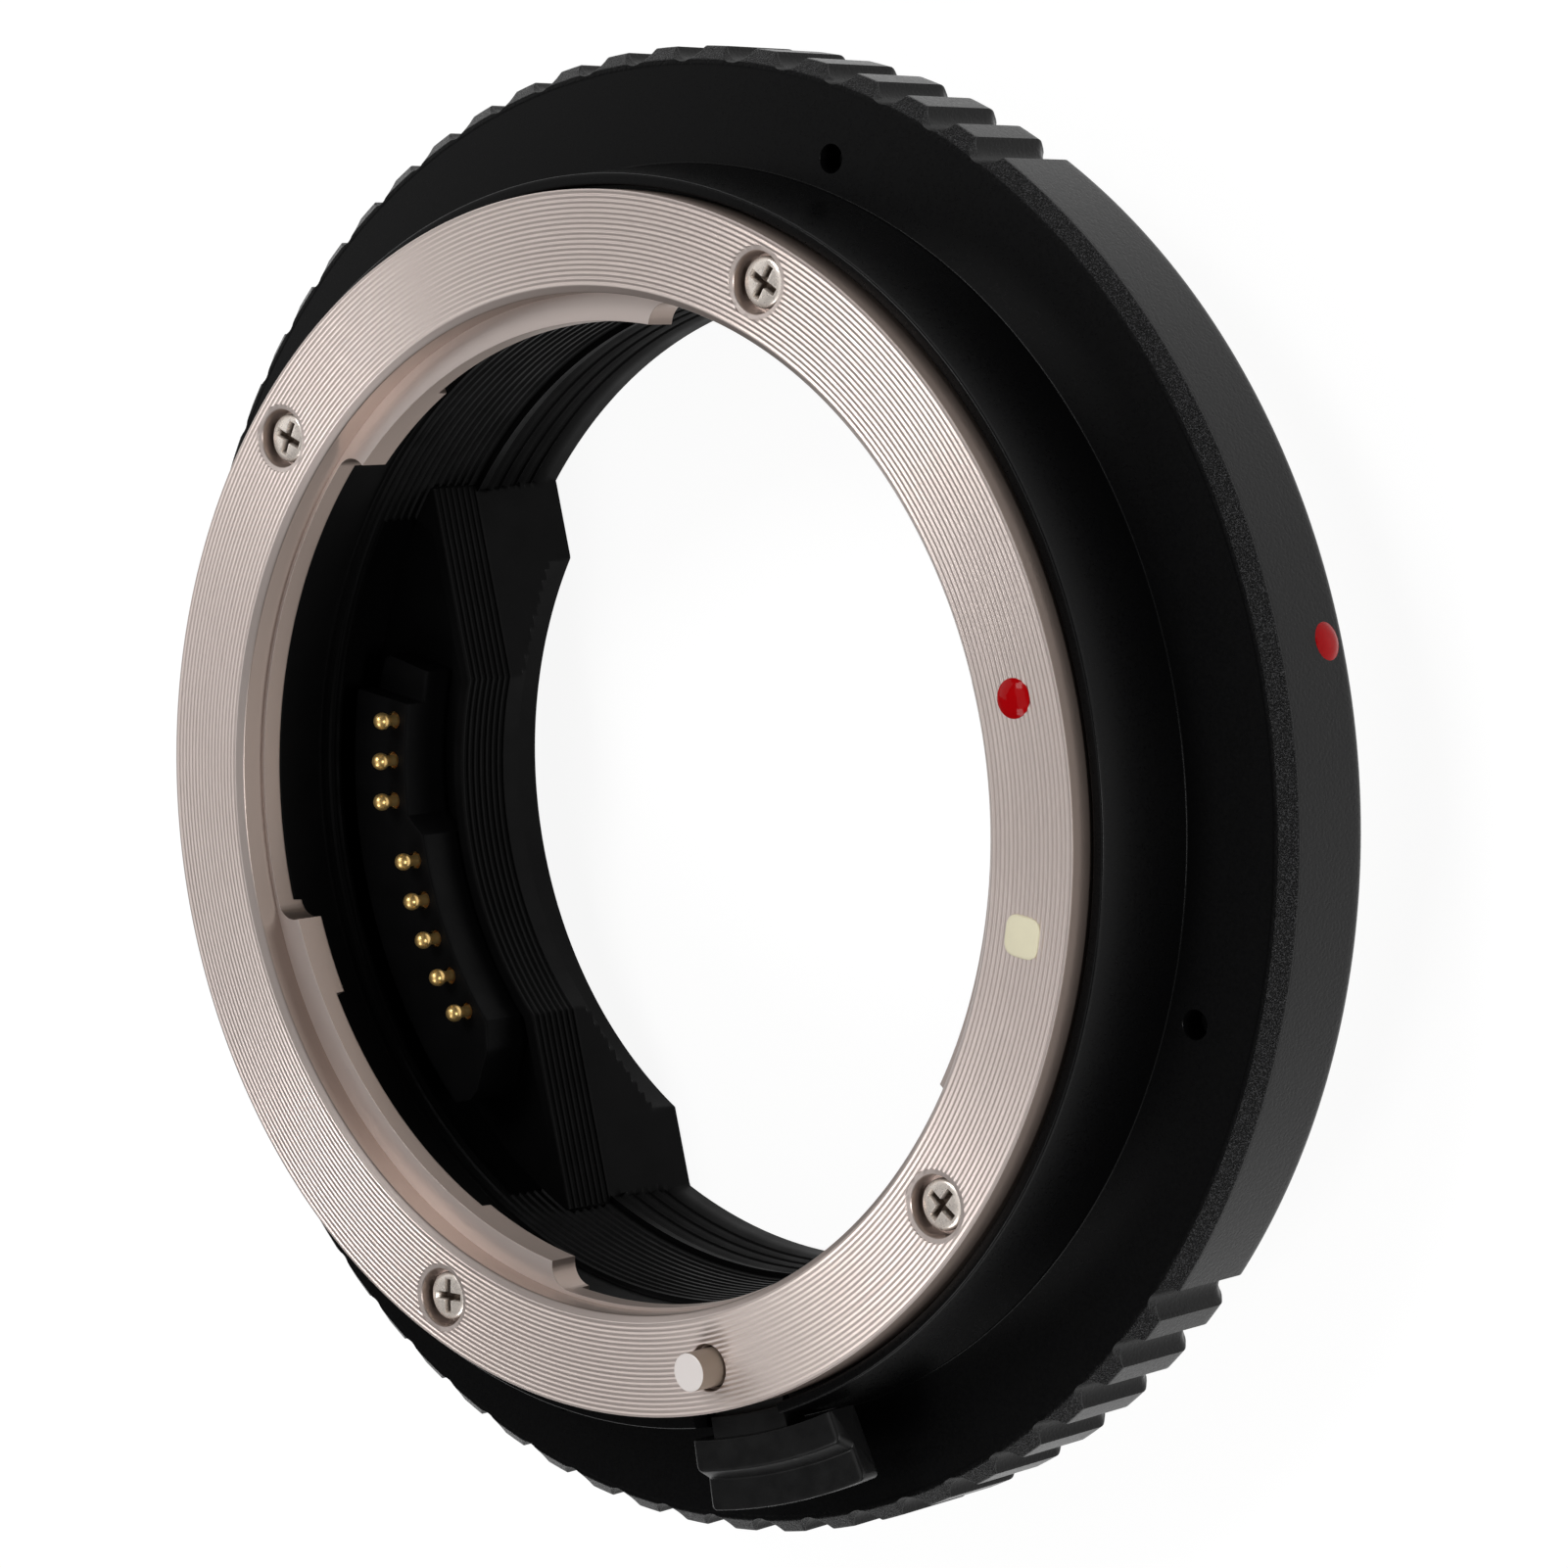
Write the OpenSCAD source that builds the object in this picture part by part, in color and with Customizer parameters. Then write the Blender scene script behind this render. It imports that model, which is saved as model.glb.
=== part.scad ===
// Lens mount adapter, sizes in millimetres.
// It stands on its camera end: +Z is the light axis towards the lens, +X points at the index dots.
// The lens bayonet is the plated ring on top, the camera bayonet is the tube with four lugs below.

/* [Front bayonet ring] */
// radius of the throat that the lens enters
throat_r = 27; // [24:0.1:31]
// distance from the screws' circle to the edge of the plated ring
ring_margin = 2.5; // [2:0.1:4]
// thickness of the plated ring
ring_t = 2.4; // [1.8:0.1:3.2]
// reach of the two tabs on the contact side into the throat
tab_reach = 1.5; // [1:0.1:2]
// reach of the tab beside the index dot
side_tab_reach = 1.1; // [0.8:0.1:1.6]
// depth of the tabs below the ring face
tab_drop = 1.7; // [1:0.1:2]
// thickness of a tab along its thin run
tab_t = 1.2; // [0.8:0.1:1.6]
// extra thickness of the pads at the ends of a tab
tab_pad = 0.6; // [0.2:0.1:1]
// chamfer of the throat edge
throat_chamfer = 0.3; // [0.1:0.05:0.5]

/* [Ring fasteners and marks] */
// distance from the main bore to the circle of the ring screws
screw_wall = 1; // [0.8:0.1:1.5]
// screw azimuth left and right of the index dot
screw_near_az = 52; // [40:1:60]
// azimuth of the two screws far from the index dot
screw_far_az = 126.4; // [110:0.2:135]
// radius of a screw head
screw_head_r = 1.2; // [0.9:0.05:1.5]
// gap between a head and its counterbore
counterbore_gap = 0.4; // [0.2:0.05:0.6]
// depth of the counterbore
counterbore_d = 1.5; // [1:0.1:1.8]
// radius of a screw shank
shank_r = 0.7; // [0.5:0.05:0.8]
// length of a shank below its head
shank_len = 4.6; // [3:0.1:6]
// distance from the screws' circle inwards to the circle of the marks
mark_inset = 0.4; // [0:0.1:0.8]
// radius of the round index marks
dot_r = 1; // [0.7:0.05:1.4]
// height that a round mark stands proud
dot_rise = 0.25; // [0.1:0.05:0.4]
// height of the band's mark above the band's rear edge
band_dot_up = 2.1; // [1.5:0.1:3]
// side of the square mark
square_side = 2.1; // [1.5:0.1:2.6]
// azimuth of the square mark
square_az = -22.7; // [-40:0.1:-15]

/* [Body] */
// distance from the throat to the main bore that holds the inner sleeve
throat_step = 2; // [1.6:0.1:2.4]
// wall of the collar round the plated ring
collar_wall = 0.8; // [0.6:0.05:1.2]
// outward slope of the collar from rim to foot
collar_slope = 0.4; // [0:0.05:0.8]
// width of the flange face from the collar to the band
flange_w = 6.2; // [5.1:0.1:8]
// height of the neck behind the band
neck_h = 1.4; // [1:0.1:2]
// height of the fluted band
band_h = 6.8; // [5.5:0.1:9]
// height of the collar from the flange face to the ring face
collar_h = 7.3; // [6:0.1:9]
// chamfer between the flange face and the band
band_chamfer = 0.85; // [0.4:0.05:1.2]
// depth of the collar's rim below the ring face
rim_drop = 1.3; // [0.8:0.1:1.8]
// step from the rear bayonet's flange out to the neck
neck_lip = 0.4; // [0.2:0.1:0.8]
// radius of the small holes in the flange face
flange_hole_r = 0.75; // [0.5:0.05:1]
// distance of the flange holes from the collar
flange_hole_inset = 1.7; // [1.2:0.1:2.5]

/* [Grip flutes] */
// radius of the cutter that makes a flute
flute_r = 1.05; // [0.8:0.05:1.3]
// depth of a flute below the band
flute_depth = 0.85; // [0.4:0.05:1]
// angle from one flute to the next
flute_pitch = 5.1; // [4.5:0.1:7]
// azimuth of the first flute past the plain sector
flute_start = 44.5; // [40:0.5:50]
// azimuth of the last flute before the plain sector
flute_end = 310; // [305:0.5:315]

/* [Lock pin and release lever] */
// azimuth of the lock pin
pin_az = -88; // [-92:0.5:-84]
// radius of the lock pin
pin_r = 1.02; // [0.8:0.02:1.3]
// height that the pin stands proud of the ring face
pin_proud = 1.5; // [1:0.1:2]
// travel of the release
release_travel = 1.8; // [1.2:0.1:2.2]
// azimuth of the middle of the lever
lever_az = -86.5; // [-90:0.1:-82]
// half width of the lever as an angle
lever_half = 8.5; // [7:0.1:11]
// half width of the lever's neck as an angle
neck_half = 4.5; // [3.5:0.1:5.5]
// reach of the lever's upper step out from the collar
lever_step_w = 1.8; // [1.2:0.1:2.4]
// reach of the whole lever out from the collar
lever_w = 4; // [3.2:0.1:4.8]
// height of the lever above the flange face when it is pressed
lever_clear = 1.4; // [0.5:0.1:1.8]
// thickness of the lever's lower step
lever_t = 1.3; // [1:0.1:1.8]
// height of the step between the lever's two faces
lever_step = 0.8; // [0.5:0.1:1.2]

/* [Contacts] */
// distance from the housing's wall out to the lower contacts
contact_wall = 1; // [0.9:0.05:1.5]
// distance of the upper contacts' circle outside the lower one
contact_step = 1.15; // [0.8:0.05:1.5]
// spacing from one contact to the next
contact_pitch = 2.32; // [1.9:0.02:2.8]
// azimuth of the middle upper contact
contact_high_az = 164.6; // [163:0.1:166]
// azimuth of the middle lower contact
contact_low_az = 191.4; // [190:0.1:193]
// radius of a contact's plunger
plunger_r = 0.45; // [0.35:0.01:0.53]
// width of the shoulder that keeps a plunger in
shoulder_w = 0.27; // [0.2:0.01:0.32]
// height that a contact stands above its block
contact_proud = 1.4; // [1:0.1:1.8]
// travel of a contact
contact_travel = 0.9; // [0.5:0.1:1.1]
// depth of the contact block's face below the ring face
block_drop = 8.2; // [7.2:0.1:9]
// width of the contact block behind the upper contacts
block_back = 3.15; // [2.6:0.05:3.7]
// length of the contact block past its end contacts
block_end_gap = 3.2; // [2.6:0.1:3.8]

/* [Inner sleeve and rear baffle] */
// distance from the throat to the sleeve's inner wall
sleeve_step = 0.3; // [0.2:0.05:0.5]
// step from the sleeve's inner wall in to the baffle's
baffle_step = 0.3; // [0.1:0.05:0.5]
// height of the housing on the contact side, from the round wall inwards
housing_depth = 7.3; // [6:0.1:8.6]
// distance that the housing's flat flanks stand further in than its arc
flank_inset = 2.5; // [2:0.1:3]
// thickness of the housing's rim
rim_t = 0.75; // [0.6:0.05:1]
// height of the rim above the floor of the contact pocket
rim_h = 0.8; // [0.6:0.05:1]
// half angle that the contact pocket spans
pocket_half = 45.3; // [42:0.1:47]
// depth of the pocket's undercut behind the sleeve's inner wall
pocket_undercut = 0.7; // [0.5:0.05:0.8]
// height from one groove of the round wall to the next
groove_pitch = 0.62; // [0.5:0.02:0.8]
// depth of a groove
groove_depth = 0.3; // [0.1:0.05:0.4]
// number of grooves in the sleeve's round wall
sleeve_groove_count = 11; // [1:1:11]
// number of grooves in the baffle's round wall
baffle_groove_count = 7; // [2:1:8]
// number of grooves in the housing's wall
housing_groove_count = 7; // [2:1:7]
// depth of the rear opening's round lip inside the sleeve's inner wall
lip_depth = 3.7; // [3:0.1:4.4]
// height of the rear opening's round lip
lip_h = 1.75; // [1.4:0.05:2.1]

/* [Rear bayonet ring] */
// distance from the main bore to the outside of the bayonet tube
tube_step = 1.3; // [1:0.1:1.6]
// wall of the bayonet tube
tube_wall = 2; // [1.6:0.1:2.4]
// length of the bayonet tube behind the rear seat
tube_len = 3.2; // [2.8:0.1:3.8]
// width of the rear seat
rear_flange_w = 6.1; // [5.6:0.1:7]
// thickness of the rear bayonet's flange
rear_flange_t = 1.8; // [1.5:0.1:2.2]
// reach of the four lugs
lug_reach = 2.1; // [1.6:0.1:2.4]
// thickness of a lug
lug_t = 1.5; // [1.2:0.1:1.8]
// height of a lug above the end of the tube
lug_z = 0.5; // [0.2:0.1:0.8]
// angle that a lug covers
lug_angle = 42; // [36:1:46]
// distance from the tube to the circle of the rear screws
rear_screw_out = 4; // [3.6:0.1:4.4]
// head radius of a rear screw
rear_head_r = 1.3; // [1.1:0.05:1.4]
// shank radius of a rear screw
rear_shank_r = 0.7; // [0.5:0.05:0.9]
// length of a rear contact pad
pad_len = 2.4; // [1.8:0.1:2.8]
// width of a rear contact pad
pad_w = 1.2; // [0.8:0.1:1.4]

/* [Hidden] */
$fn = 96;
// clearance of a piece that slides
run_gap = 0.08;
// clearance of a piece that is dropped in and held
seat_gap = 0.05;
// clearance between pieces that pass each other freely
free_gap = 0.3;
// overrun of a cut past the face it opens
over = 0.5;
// radii, from the throat outwards
bore_r = throat_r + throat_step;
screw_circle_r = bore_r + screw_wall;
ring_r = screw_circle_r + ring_margin;
mark_circle_r = screw_circle_r - mark_inset;
recess_r = ring_r + 0.1;
collar_top_r = recess_r + collar_wall;
collar_foot_r = collar_top_r + collar_slope;
band_r = collar_foot_r + flange_w;
flange_hole_circle_r = collar_foot_r + flange_hole_inset;
tab_root_r = bore_r - 0.6;
tube_r = bore_r + tube_step;
tube_bore_r = tube_r - tube_wall;
lug_r = tube_r + lug_reach;
rear_flange_r = tube_r + rear_flange_w;
rear_screw_circle_r = tube_r + rear_screw_out;
neck_r = rear_flange_r + neck_lip;
// heights, from the rear end upwards
neck_z = tube_len + rear_flange_t;
band_z = neck_z + neck_h;
band_dot_z = band_z + band_dot_up;
flange_z = band_z + band_h;
face_z = flange_z + collar_h;
seat_z = face_z - ring_t;
rim_z = face_z - rim_drop;
counterbore_r = screw_head_r + counterbore_gap;
counterbore_z = face_z - counterbore_d;
tab_z = face_z - tab_drop;
// start and end azimuth of each tab, the length of its two pads and its inner radius
tabs = [
    [66, 125, 5, 17, throat_r - tab_reach], [181.5, 248.5, 13, 18, throat_r - tab_reach],
    [-54, 6, 6, 14, throat_r - side_tab_reach]
];
ring_screw_az = [screw_near_az, screw_far_az, -screw_far_az, -screw_near_az];
flute_count = floor((flute_end - flute_start) / flute_pitch + 0.001) + 1;
// the release
pin_circle_r = screw_circle_r;
lever_step_r = collar_foot_r + lever_step_w;
lever_r = collar_foot_r + lever_w;
lever_base_z = flange_z + release_travel + lever_clear;
lever_low_z = lever_base_z + lever_t;
lever_top_z = lever_low_z + lever_step;
lever_in_r = collar_foot_r + 0.15;
arm_t = 1.2;
arm_top_z = seat_z - run_gap;
arm_in_r = bore_r + 0.2;
notch_half = neck_half + 0.8;
notch_z = arm_top_z - arm_t - release_travel - free_gap;
stem_r = 0.7;
spring_r = 1.1;
spring_circle_r = pin_circle_r + 1.9;
spring_floor_z = notch_z - 1.6;
// the sleeve, its housing and the contact block
sleeve_r = throat_r + sleeve_step;
sleeve_base_z = band_z - 0.1;
sleeve_top_z = tab_z - tab_t - tab_pad - 0.1;
sleeve_lip_z = face_z - 6.8;
pocket_r = sleeve_r + pocket_undercut;
housing_r = sleeve_r - housing_depth;
flank_x = housing_r - flank_inset;
shoulder_r = plunger_r + shoulder_w;
shoulder_depth = 0.8;
shoulder_t = 0.6;
block_floor = 0.5;
block_z = face_z - block_drop;
block_base_z = block_z - shoulder_depth - shoulder_t - contact_travel - 0.5 - block_floor;
block_r = housing_r + rim_t + 0.25;
contact_low_r = block_r + contact_wall;
contact_high_r = contact_low_r + contact_step;
contact_high_step = contact_pitch / contact_high_r * 180 / PI;
contact_low_step = contact_pitch / contact_low_r * 180 / PI;
block_out_r = contact_high_r + block_back;
block_high_r = block_r + contact_step;
block_start = contact_high_az - contact_high_step - block_end_gap / contact_high_r * 180 / PI - 4;
block_plateau = block_start + 4.8;
block_step = (contact_high_az + contact_high_step + contact_low_az - 2 * contact_low_step) / 2;
block_end = contact_low_az + 2 * contact_low_step + block_end_gap / contact_low_r * 180 / PI;
contact_tip_z = block_z + contact_proud;
shoulder_top_z = block_z - shoulder_depth;
housing_groove_pitch = 0.47;
// the baffle and what it carries
baffle_r = sleeve_r - baffle_step;
baffle_base_z = 0.15;
rear_lip_r = sleeve_r - lip_depth;
rear_lip_z = baffle_base_z + lip_h;
pad_t = 0.3;
rear_screw_az = [20, 110, 200, 290];
rear_shank_len = 4.5;

// a slab that follows part of a circle
module sector(r1, r2, a1, a2, z1, z2) {
    rotate([0, 0, a1])
        rotate_extrude(angle = a2 - a1)
            translate([r1, z1])
                square([r2 - r1, z2 - z1]);
}

// moves what follows to a place on a circle, turned to face outwards
module at(r, az, z) {
    rotate([0, 0, az])
        translate([r, 0, z])
            children();
}

// low dome of a round mark, its flat side at height zero
module dome(r, rise, sink) {
    rotate_extrude()
        polygon([
            [0, -sink], [r, -sink], [r, 0], [r * 0.86, rise * 0.42],
            [r * 0.6, rise * 0.74], [r * 0.3, rise * 0.94], [0, rise]
        ]);
}

// outline of the light passage: a round wall, two flat flanks and the housing's arc
module passage(round_r, arc_r, flat_x) {
    intersection() {
        circle(r = round_r);
        union() {
            circle(r = arc_r);
            beside_housing(round_r, flat_x);
        }
    }
}

// all that lies on the open side of the housing's flanks
module beside_housing(round_r, flat_x) {
    translate([-flat_x, -round_r - 1])
        square([flat_x + round_r + 1, 2 * round_r + 2]);
}

// section of the body on one side of the axis
module body_section() {
    polygon([
        [bore_r, neck_z], [neck_r - 0.3, neck_z], [neck_r, neck_z + 0.3],
        [neck_r, band_z], [band_r - 0.4, band_z], [band_r, band_z + 0.4],
        [band_r, flange_z - band_chamfer], [band_r - band_chamfer, flange_z],
        [collar_foot_r + 0.12, flange_z], [collar_foot_r + 0.12, flange_z + 0.12],
        [collar_foot_r, flange_z + 0.12], [collar_top_r, rim_z - 0.15],
        [collar_top_r - 0.15, rim_z], [recess_r, rim_z], [recess_r, seat_z],
        [bore_r, seat_z]
    ]);
}

module body_shell() {
    color([0.09, 0.09, 0.1])
    difference() {
        rotate_extrude() body_section();
        // grip flutes, cut along the axis
        for (i = [0 : flute_count - 1])
            at(band_r + flute_r - flute_depth, flute_start + i * flute_pitch, band_z - over)
                cylinder(r = flute_r, h = flange_z - band_z + 2 * over, $fn = 32);
        // tapped holes under the ring screws
        for (az = ring_screw_az)
            at(screw_circle_r, az, counterbore_z - shank_len - 0.3)
                cylinder(r = shank_r + 0.02, h = shank_len, $fn = 32);
        // tapped holes over the rear screws
        for (az = rear_screw_az)
            at(rear_screw_circle_r, az, neck_z - over)
                cylinder(r = rear_shank_r + 0.02, h = rear_shank_len - 0.6, $fn = 32);
        // small holes in the flange face
        for (az = [-29, 58, 148, 241])
            at(flange_hole_circle_r, az, flange_z - 2.2)
                cylinder(r = flange_hole_r, h = 2.2 + over, $fn = 32);
        // notch in the collar that the release arm moves in
        sector(bore_r - 0.2, collar_foot_r + over, pin_az - notch_half, pin_az + notch_half,
               notch_z, rim_z + over);
        // well under the release spring
        at(spring_circle_r, pin_az, spring_floor_z)
            cylinder(r = spring_r + 0.2, h = notch_z - spring_floor_z + 0.1, $fn = 32);
        // seat of the dot on the band
        at(band_r, 0, band_dot_z)
            rotate([0, 90, 0])
                translate([0, 0, -0.4])
                    cylinder(r = dot_r + seat_gap, h = 2, $fn = 48);
    }
}

// one bayonet tab, thinned on its underside between the two end pads
module tab(start, end, pad_a, pad_b, inner_r) {
    low = tab_z - tab_t;
    difference() {
        sector(inner_r, tab_root_r, start, end, low - tab_pad, tab_z);
        sector(inner_r - over, tab_root_r + over, start + pad_a, end - pad_b,
               low - tab_pad - over, low);
    }
}

module front_bayonet_ring() {
    color([0.74, 0.68, 0.63])
    difference() {
        union() {
            rotate_extrude()
                polygon([
                    [throat_r, seat_z], [ring_r - 0.1, seat_z], [ring_r, seat_z + 0.1],
                    [ring_r, face_z - 0.25], [ring_r - 0.25, face_z],
                    [throat_r + throat_chamfer, face_z], [throat_r, face_z - throat_chamfer]
                ]);
            for (t = tabs)
                tab(t[0], t[1], t[2], t[3], t[4]);
        }
        for (az = ring_screw_az) {
            at(screw_circle_r, az, counterbore_z)
                cylinder(r = counterbore_r, h = counterbore_d + over, $fn = 48);
            at(screw_circle_r, az, seat_z - over)
                cylinder(r = shank_r + 0.05, h = ring_t, $fn = 32);
        }
        at(pin_circle_r, pin_az, seat_z - over)
            cylinder(r = pin_r + run_gap, h = ring_t + 2 * over, $fn = 48);
        at(mark_circle_r, 0, face_z - 0.4)
            cylinder(r = dot_r + seat_gap, h = 1, $fn = 48);
        at(mark_circle_r, square_az, face_z - 0.4)
            linear_extrude(1)
                rounded_square(square_side + 2 * seat_gap, 0.5 + seat_gap);
    }
}

// square with rounded corners
module rounded_square(side, r) {
    inner = side - 2 * r;
    square([side, inner], center = true);
    square([inner, side], center = true);
    for (x = [-1, 1])
        for (y = [-1, 1])
            translate([x * inner / 2, y * inner / 2])
                circle(r = r, $fn = 32);
}

// pan head screw with a cross recess, its head resting at height zero
module pan_screw(head_r, head_h, length, r) {
    difference() {
        union() {
            rotate_extrude($fn = 48)
                polygon([
                    [0, 0], [head_r, 0], [head_r, head_h * 0.5], [head_r * 0.82, head_h * 0.86],
                    [head_r * 0.5, head_h], [0, head_h]
                ]);
            translate([0, 0, -length])
                cylinder(r = r, h = length + 0.1, $fn = 32);
        }
        for (turn = [0, 90])
            rotate([0, 0, turn])
                translate([-head_r * 0.62, -head_r * 0.13, head_h * 0.45])
                    cube([head_r * 1.24, head_r * 0.26, head_h]);
    }
}

module ring_screw(i) {
    color([0.8, 0.79, 0.77])
        at(screw_circle_r, ring_screw_az[i], counterbore_z)
            rotate([0, 0, 25 + i * 40])
                pan_screw(screw_head_r, 0.95, shank_len - 0.4, shank_r);
}

module ring_index_dot() {
    color([0.75, 0.03, 0.03])
        at(mark_circle_r, 0, face_z)
            dome(dot_r, dot_rise, 0.4);
}

module ring_square_mark() {
    color([0.86, 0.84, 0.68])
        at(mark_circle_r, square_az, face_z - 0.4)
            linear_extrude(0.45)
                rounded_square(square_side, 0.5);
}

module band_index_dot() {
    color([0.75, 0.03, 0.03])
        at(band_r, 0, band_dot_z)
            rotate([0, 90, 0])
                dome(dot_r, dot_rise, 0.4);
}

module lock_pin() {
    color([0.82, 0.79, 0.76])
        at(pin_circle_r, pin_az, 0)
            rotate_extrude($fn = 48)
                polygon([
                    [0, arm_top_z - arm_t], [stem_r, arm_top_z - arm_t], [stem_r, arm_top_z],
                    [pin_r, arm_top_z], [pin_r, face_z + pin_proud - 0.15],
                    [pin_r - 0.15, face_z + pin_proud], [0, face_z + pin_proud]
                ]);
}

module release_lever() {
    color([0.07, 0.07, 0.08])
    difference() {
        union() {
            // arm under the plated ring
            sector(arm_in_r, lever_in_r + 0.2, pin_az - neck_half, pin_az + neck_half,
                   arm_top_z - arm_t, arm_top_z);
            // neck that passes through the notch in the collar
            sector(recess_r + 0.15, lever_in_r + 0.2, pin_az - neck_half, pin_az + neck_half,
                   arm_top_z - arm_t, lever_top_z - 0.1);
            // thumb piece with its two steps
            rotate([0, 0, lever_az - lever_half])
                rotate_extrude(angle = 2 * lever_half)
                    polygon([
                        [lever_in_r, lever_base_z], [lever_r - 0.3, lever_base_z],
                        [lever_r, lever_base_z + 0.3], [lever_r, lever_low_z - 0.2],
                        [lever_r - 0.2, lever_low_z], [lever_step_r, lever_low_z],
                        [lever_step_r, lever_top_z - 0.2], [lever_step_r - 0.2, lever_top_z],
                        [lever_in_r, lever_top_z]
                    ]);
        }
        at(pin_circle_r, pin_az, arm_top_z - arm_t - over)
            cylinder(r = stem_r + 0.02, h = arm_t + 2 * over, $fn = 48);
    }
}

module inner_sleeve() {
    color([0.06, 0.06, 0.065])
    difference() {
        union() {
            // round wall with its light trap grooves
            difference() {
                translate([0, 0, sleeve_base_z])
                    cylinder(r = bore_r - seat_gap, h = sleeve_top_z - sleeve_base_z);
                translate([0, 0, sleeve_base_z - over])
                    cylinder(r = sleeve_r, h = sleeve_top_z - sleeve_base_z + 2 * over);
                translate([0, 0, sleeve_lip_z])
                    cylinder(r = sleeve_r + 0.3, h = sleeve_top_z - sleeve_lip_z + over);
                for (i = [0 : sleeve_groove_count - 1])
                    translate([0, 0, sleeve_base_z + 0.2 + i * groove_pitch])
                        cylinder(r1 = sleeve_r + groove_depth, r2 = sleeve_r - 0.05, h = 0.4);
            }
            // housing on the contact side
            difference() {
                translate([0, 0, sleeve_base_z])
                    linear_extrude(block_base_z + rim_h - sleeve_base_z)
                        difference() {
                            circle(r = sleeve_r + 0.5);
                            passage(sleeve_r + 0.6, housing_r, flank_x);
                        }
                for (i = [0 : housing_groove_count - 1])
                    translate([0, 0, sleeve_base_z + 0.2 + i * housing_groove_pitch])
                        linear_extrude(0.22)
                            passage(sleeve_r + 0.7, housing_r + 0.2, flank_x + 0.2);
            }
        }
        // pocket that the contact block sits in, behind the housing's rim
        translate([0, 0, block_base_z])
            linear_extrude(block_z + 0.1 - block_base_z)
                difference() {
                    intersection() {
                        circle(r = pocket_r);
                        polygon([
                            [0, 0], [-3 * pocket_r * cos(pocket_half), 3 * pocket_r * sin(pocket_half)],
                            [-3 * pocket_r * cos(pocket_half), -3 * pocket_r * sin(pocket_half)]
                        ]);
                    }
                    passage(pocket_r + over, housing_r + rim_t, flank_x + rim_t);
                }
    }
}

// azimuth of contact i: three upper ones, then five lower ones
function contact_az(i) = i < 3
    ? contact_high_az + (i - 1) * contact_high_step
    : contact_low_az + (i - 5) * contact_low_step;

function contact_circle(i) = i < 3 ? contact_high_r : contact_low_r;

module contact_block() {
    color([0.05, 0.05, 0.055])
    difference() {
        sector(block_r, block_out_r, block_start, block_end, block_base_z, block_z);
        // the run that carries the three upper contacts stands further out
        sector(block_r - over, block_high_r, block_start - 1, block_step, block_base_z - over,
               block_z + over);
        // low step at the block's upper end
        sector(block_r - over, block_out_r + over, block_start - 1, block_plateau, block_z - 1.3,
               block_z + over);
        // the lower corner keeps clear of the housing's flank
        translate([-flank_x - rim_t - 0.25, -block_out_r, block_base_z - over])
            cube([block_out_r, 2 * block_out_r, block_z - block_base_z + 2 * over]);
        for (i = [0 : 7])
            at(contact_circle(i), contact_az(i), block_base_z + block_floor) {
                cylinder(r = plunger_r + 0.04, h = block_z - block_base_z, $fn = 32);
                cylinder(r = shoulder_r + run_gap,
                         h = shoulder_top_z - block_base_z - block_floor, $fn = 32);
            }
    }
}

module contact(i) {
    color([0.85, 0.62, 0.22])
        at(contact_circle(i), contact_az(i), 0)
            rotate_extrude($fn = 32)
                polygon([
                    [0, shoulder_top_z - shoulder_t], [shoulder_r, shoulder_top_z - shoulder_t],
                    [shoulder_r, shoulder_top_z], [plunger_r, shoulder_top_z],
                    [plunger_r, contact_tip_z - 0.45], [plunger_r * 0.9, contact_tip_z - 0.22],
                    [plunger_r * 0.6, contact_tip_z - 0.07], [0, contact_tip_z]
                ]);
}

module rear_baffle() {
    top = sleeve_base_z;
    color([0.06, 0.06, 0.065])
    difference() {
        union() {
            translate([0, 0, baffle_base_z])
                cylinder(r = tube_bore_r - seat_gap, h = neck_z - baffle_base_z + 0.1);
            translate([0, 0, neck_z])
                cylinder(r = bore_r - seat_gap, h = top - neck_z);
        }
        translate([0, 0, baffle_base_z - over])
            linear_extrude(top - baffle_base_z + 2 * over)
                passage(baffle_r, housing_r, flank_x);
        // round lip and cone that open the housing towards the rear
        rotate_extrude()
            polygon([
                [0, baffle_base_z - over], [rear_lip_r, baffle_base_z - over],
                [rear_lip_r, rear_lip_z], [rear_lip_r - (top + over - rear_lip_z), top + over],
                [0, top + over]
            ]);
        // light trap grooves in the round wall
        for (i = [0 : baffle_groove_count - 1])
            translate([0, 0, top - 0.6 - i * groove_pitch])
                linear_extrude(0.3)
                    intersection() {
                        circle(r = baffle_r + groove_depth);
                        beside_housing(baffle_r + 1, flank_x);
                    }
        // beds of the rear contact pads
        for (i = [0 : 11])
            rear_pad(i, baffle_base_z - over, pad_t + over, 0.03);
    }
}

// one flat contact on the camera end
module rear_pad(i, z, h, grow) {
    at((rear_lip_r + tube_bore_r) / 2 - 0.1, 180 + (i - 5.5) * 4.6, z)
        translate([-pad_len / 2 - grow, -pad_w / 2 - grow, 0])
            cube([pad_len + 2 * grow, pad_w + 2 * grow, h]);
}

module rear_contact_pads() {
    color([0.85, 0.62, 0.22])
        for (i = [0 : 11])
            rear_pad(i, baffle_base_z, pad_t, 0);
}

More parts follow.
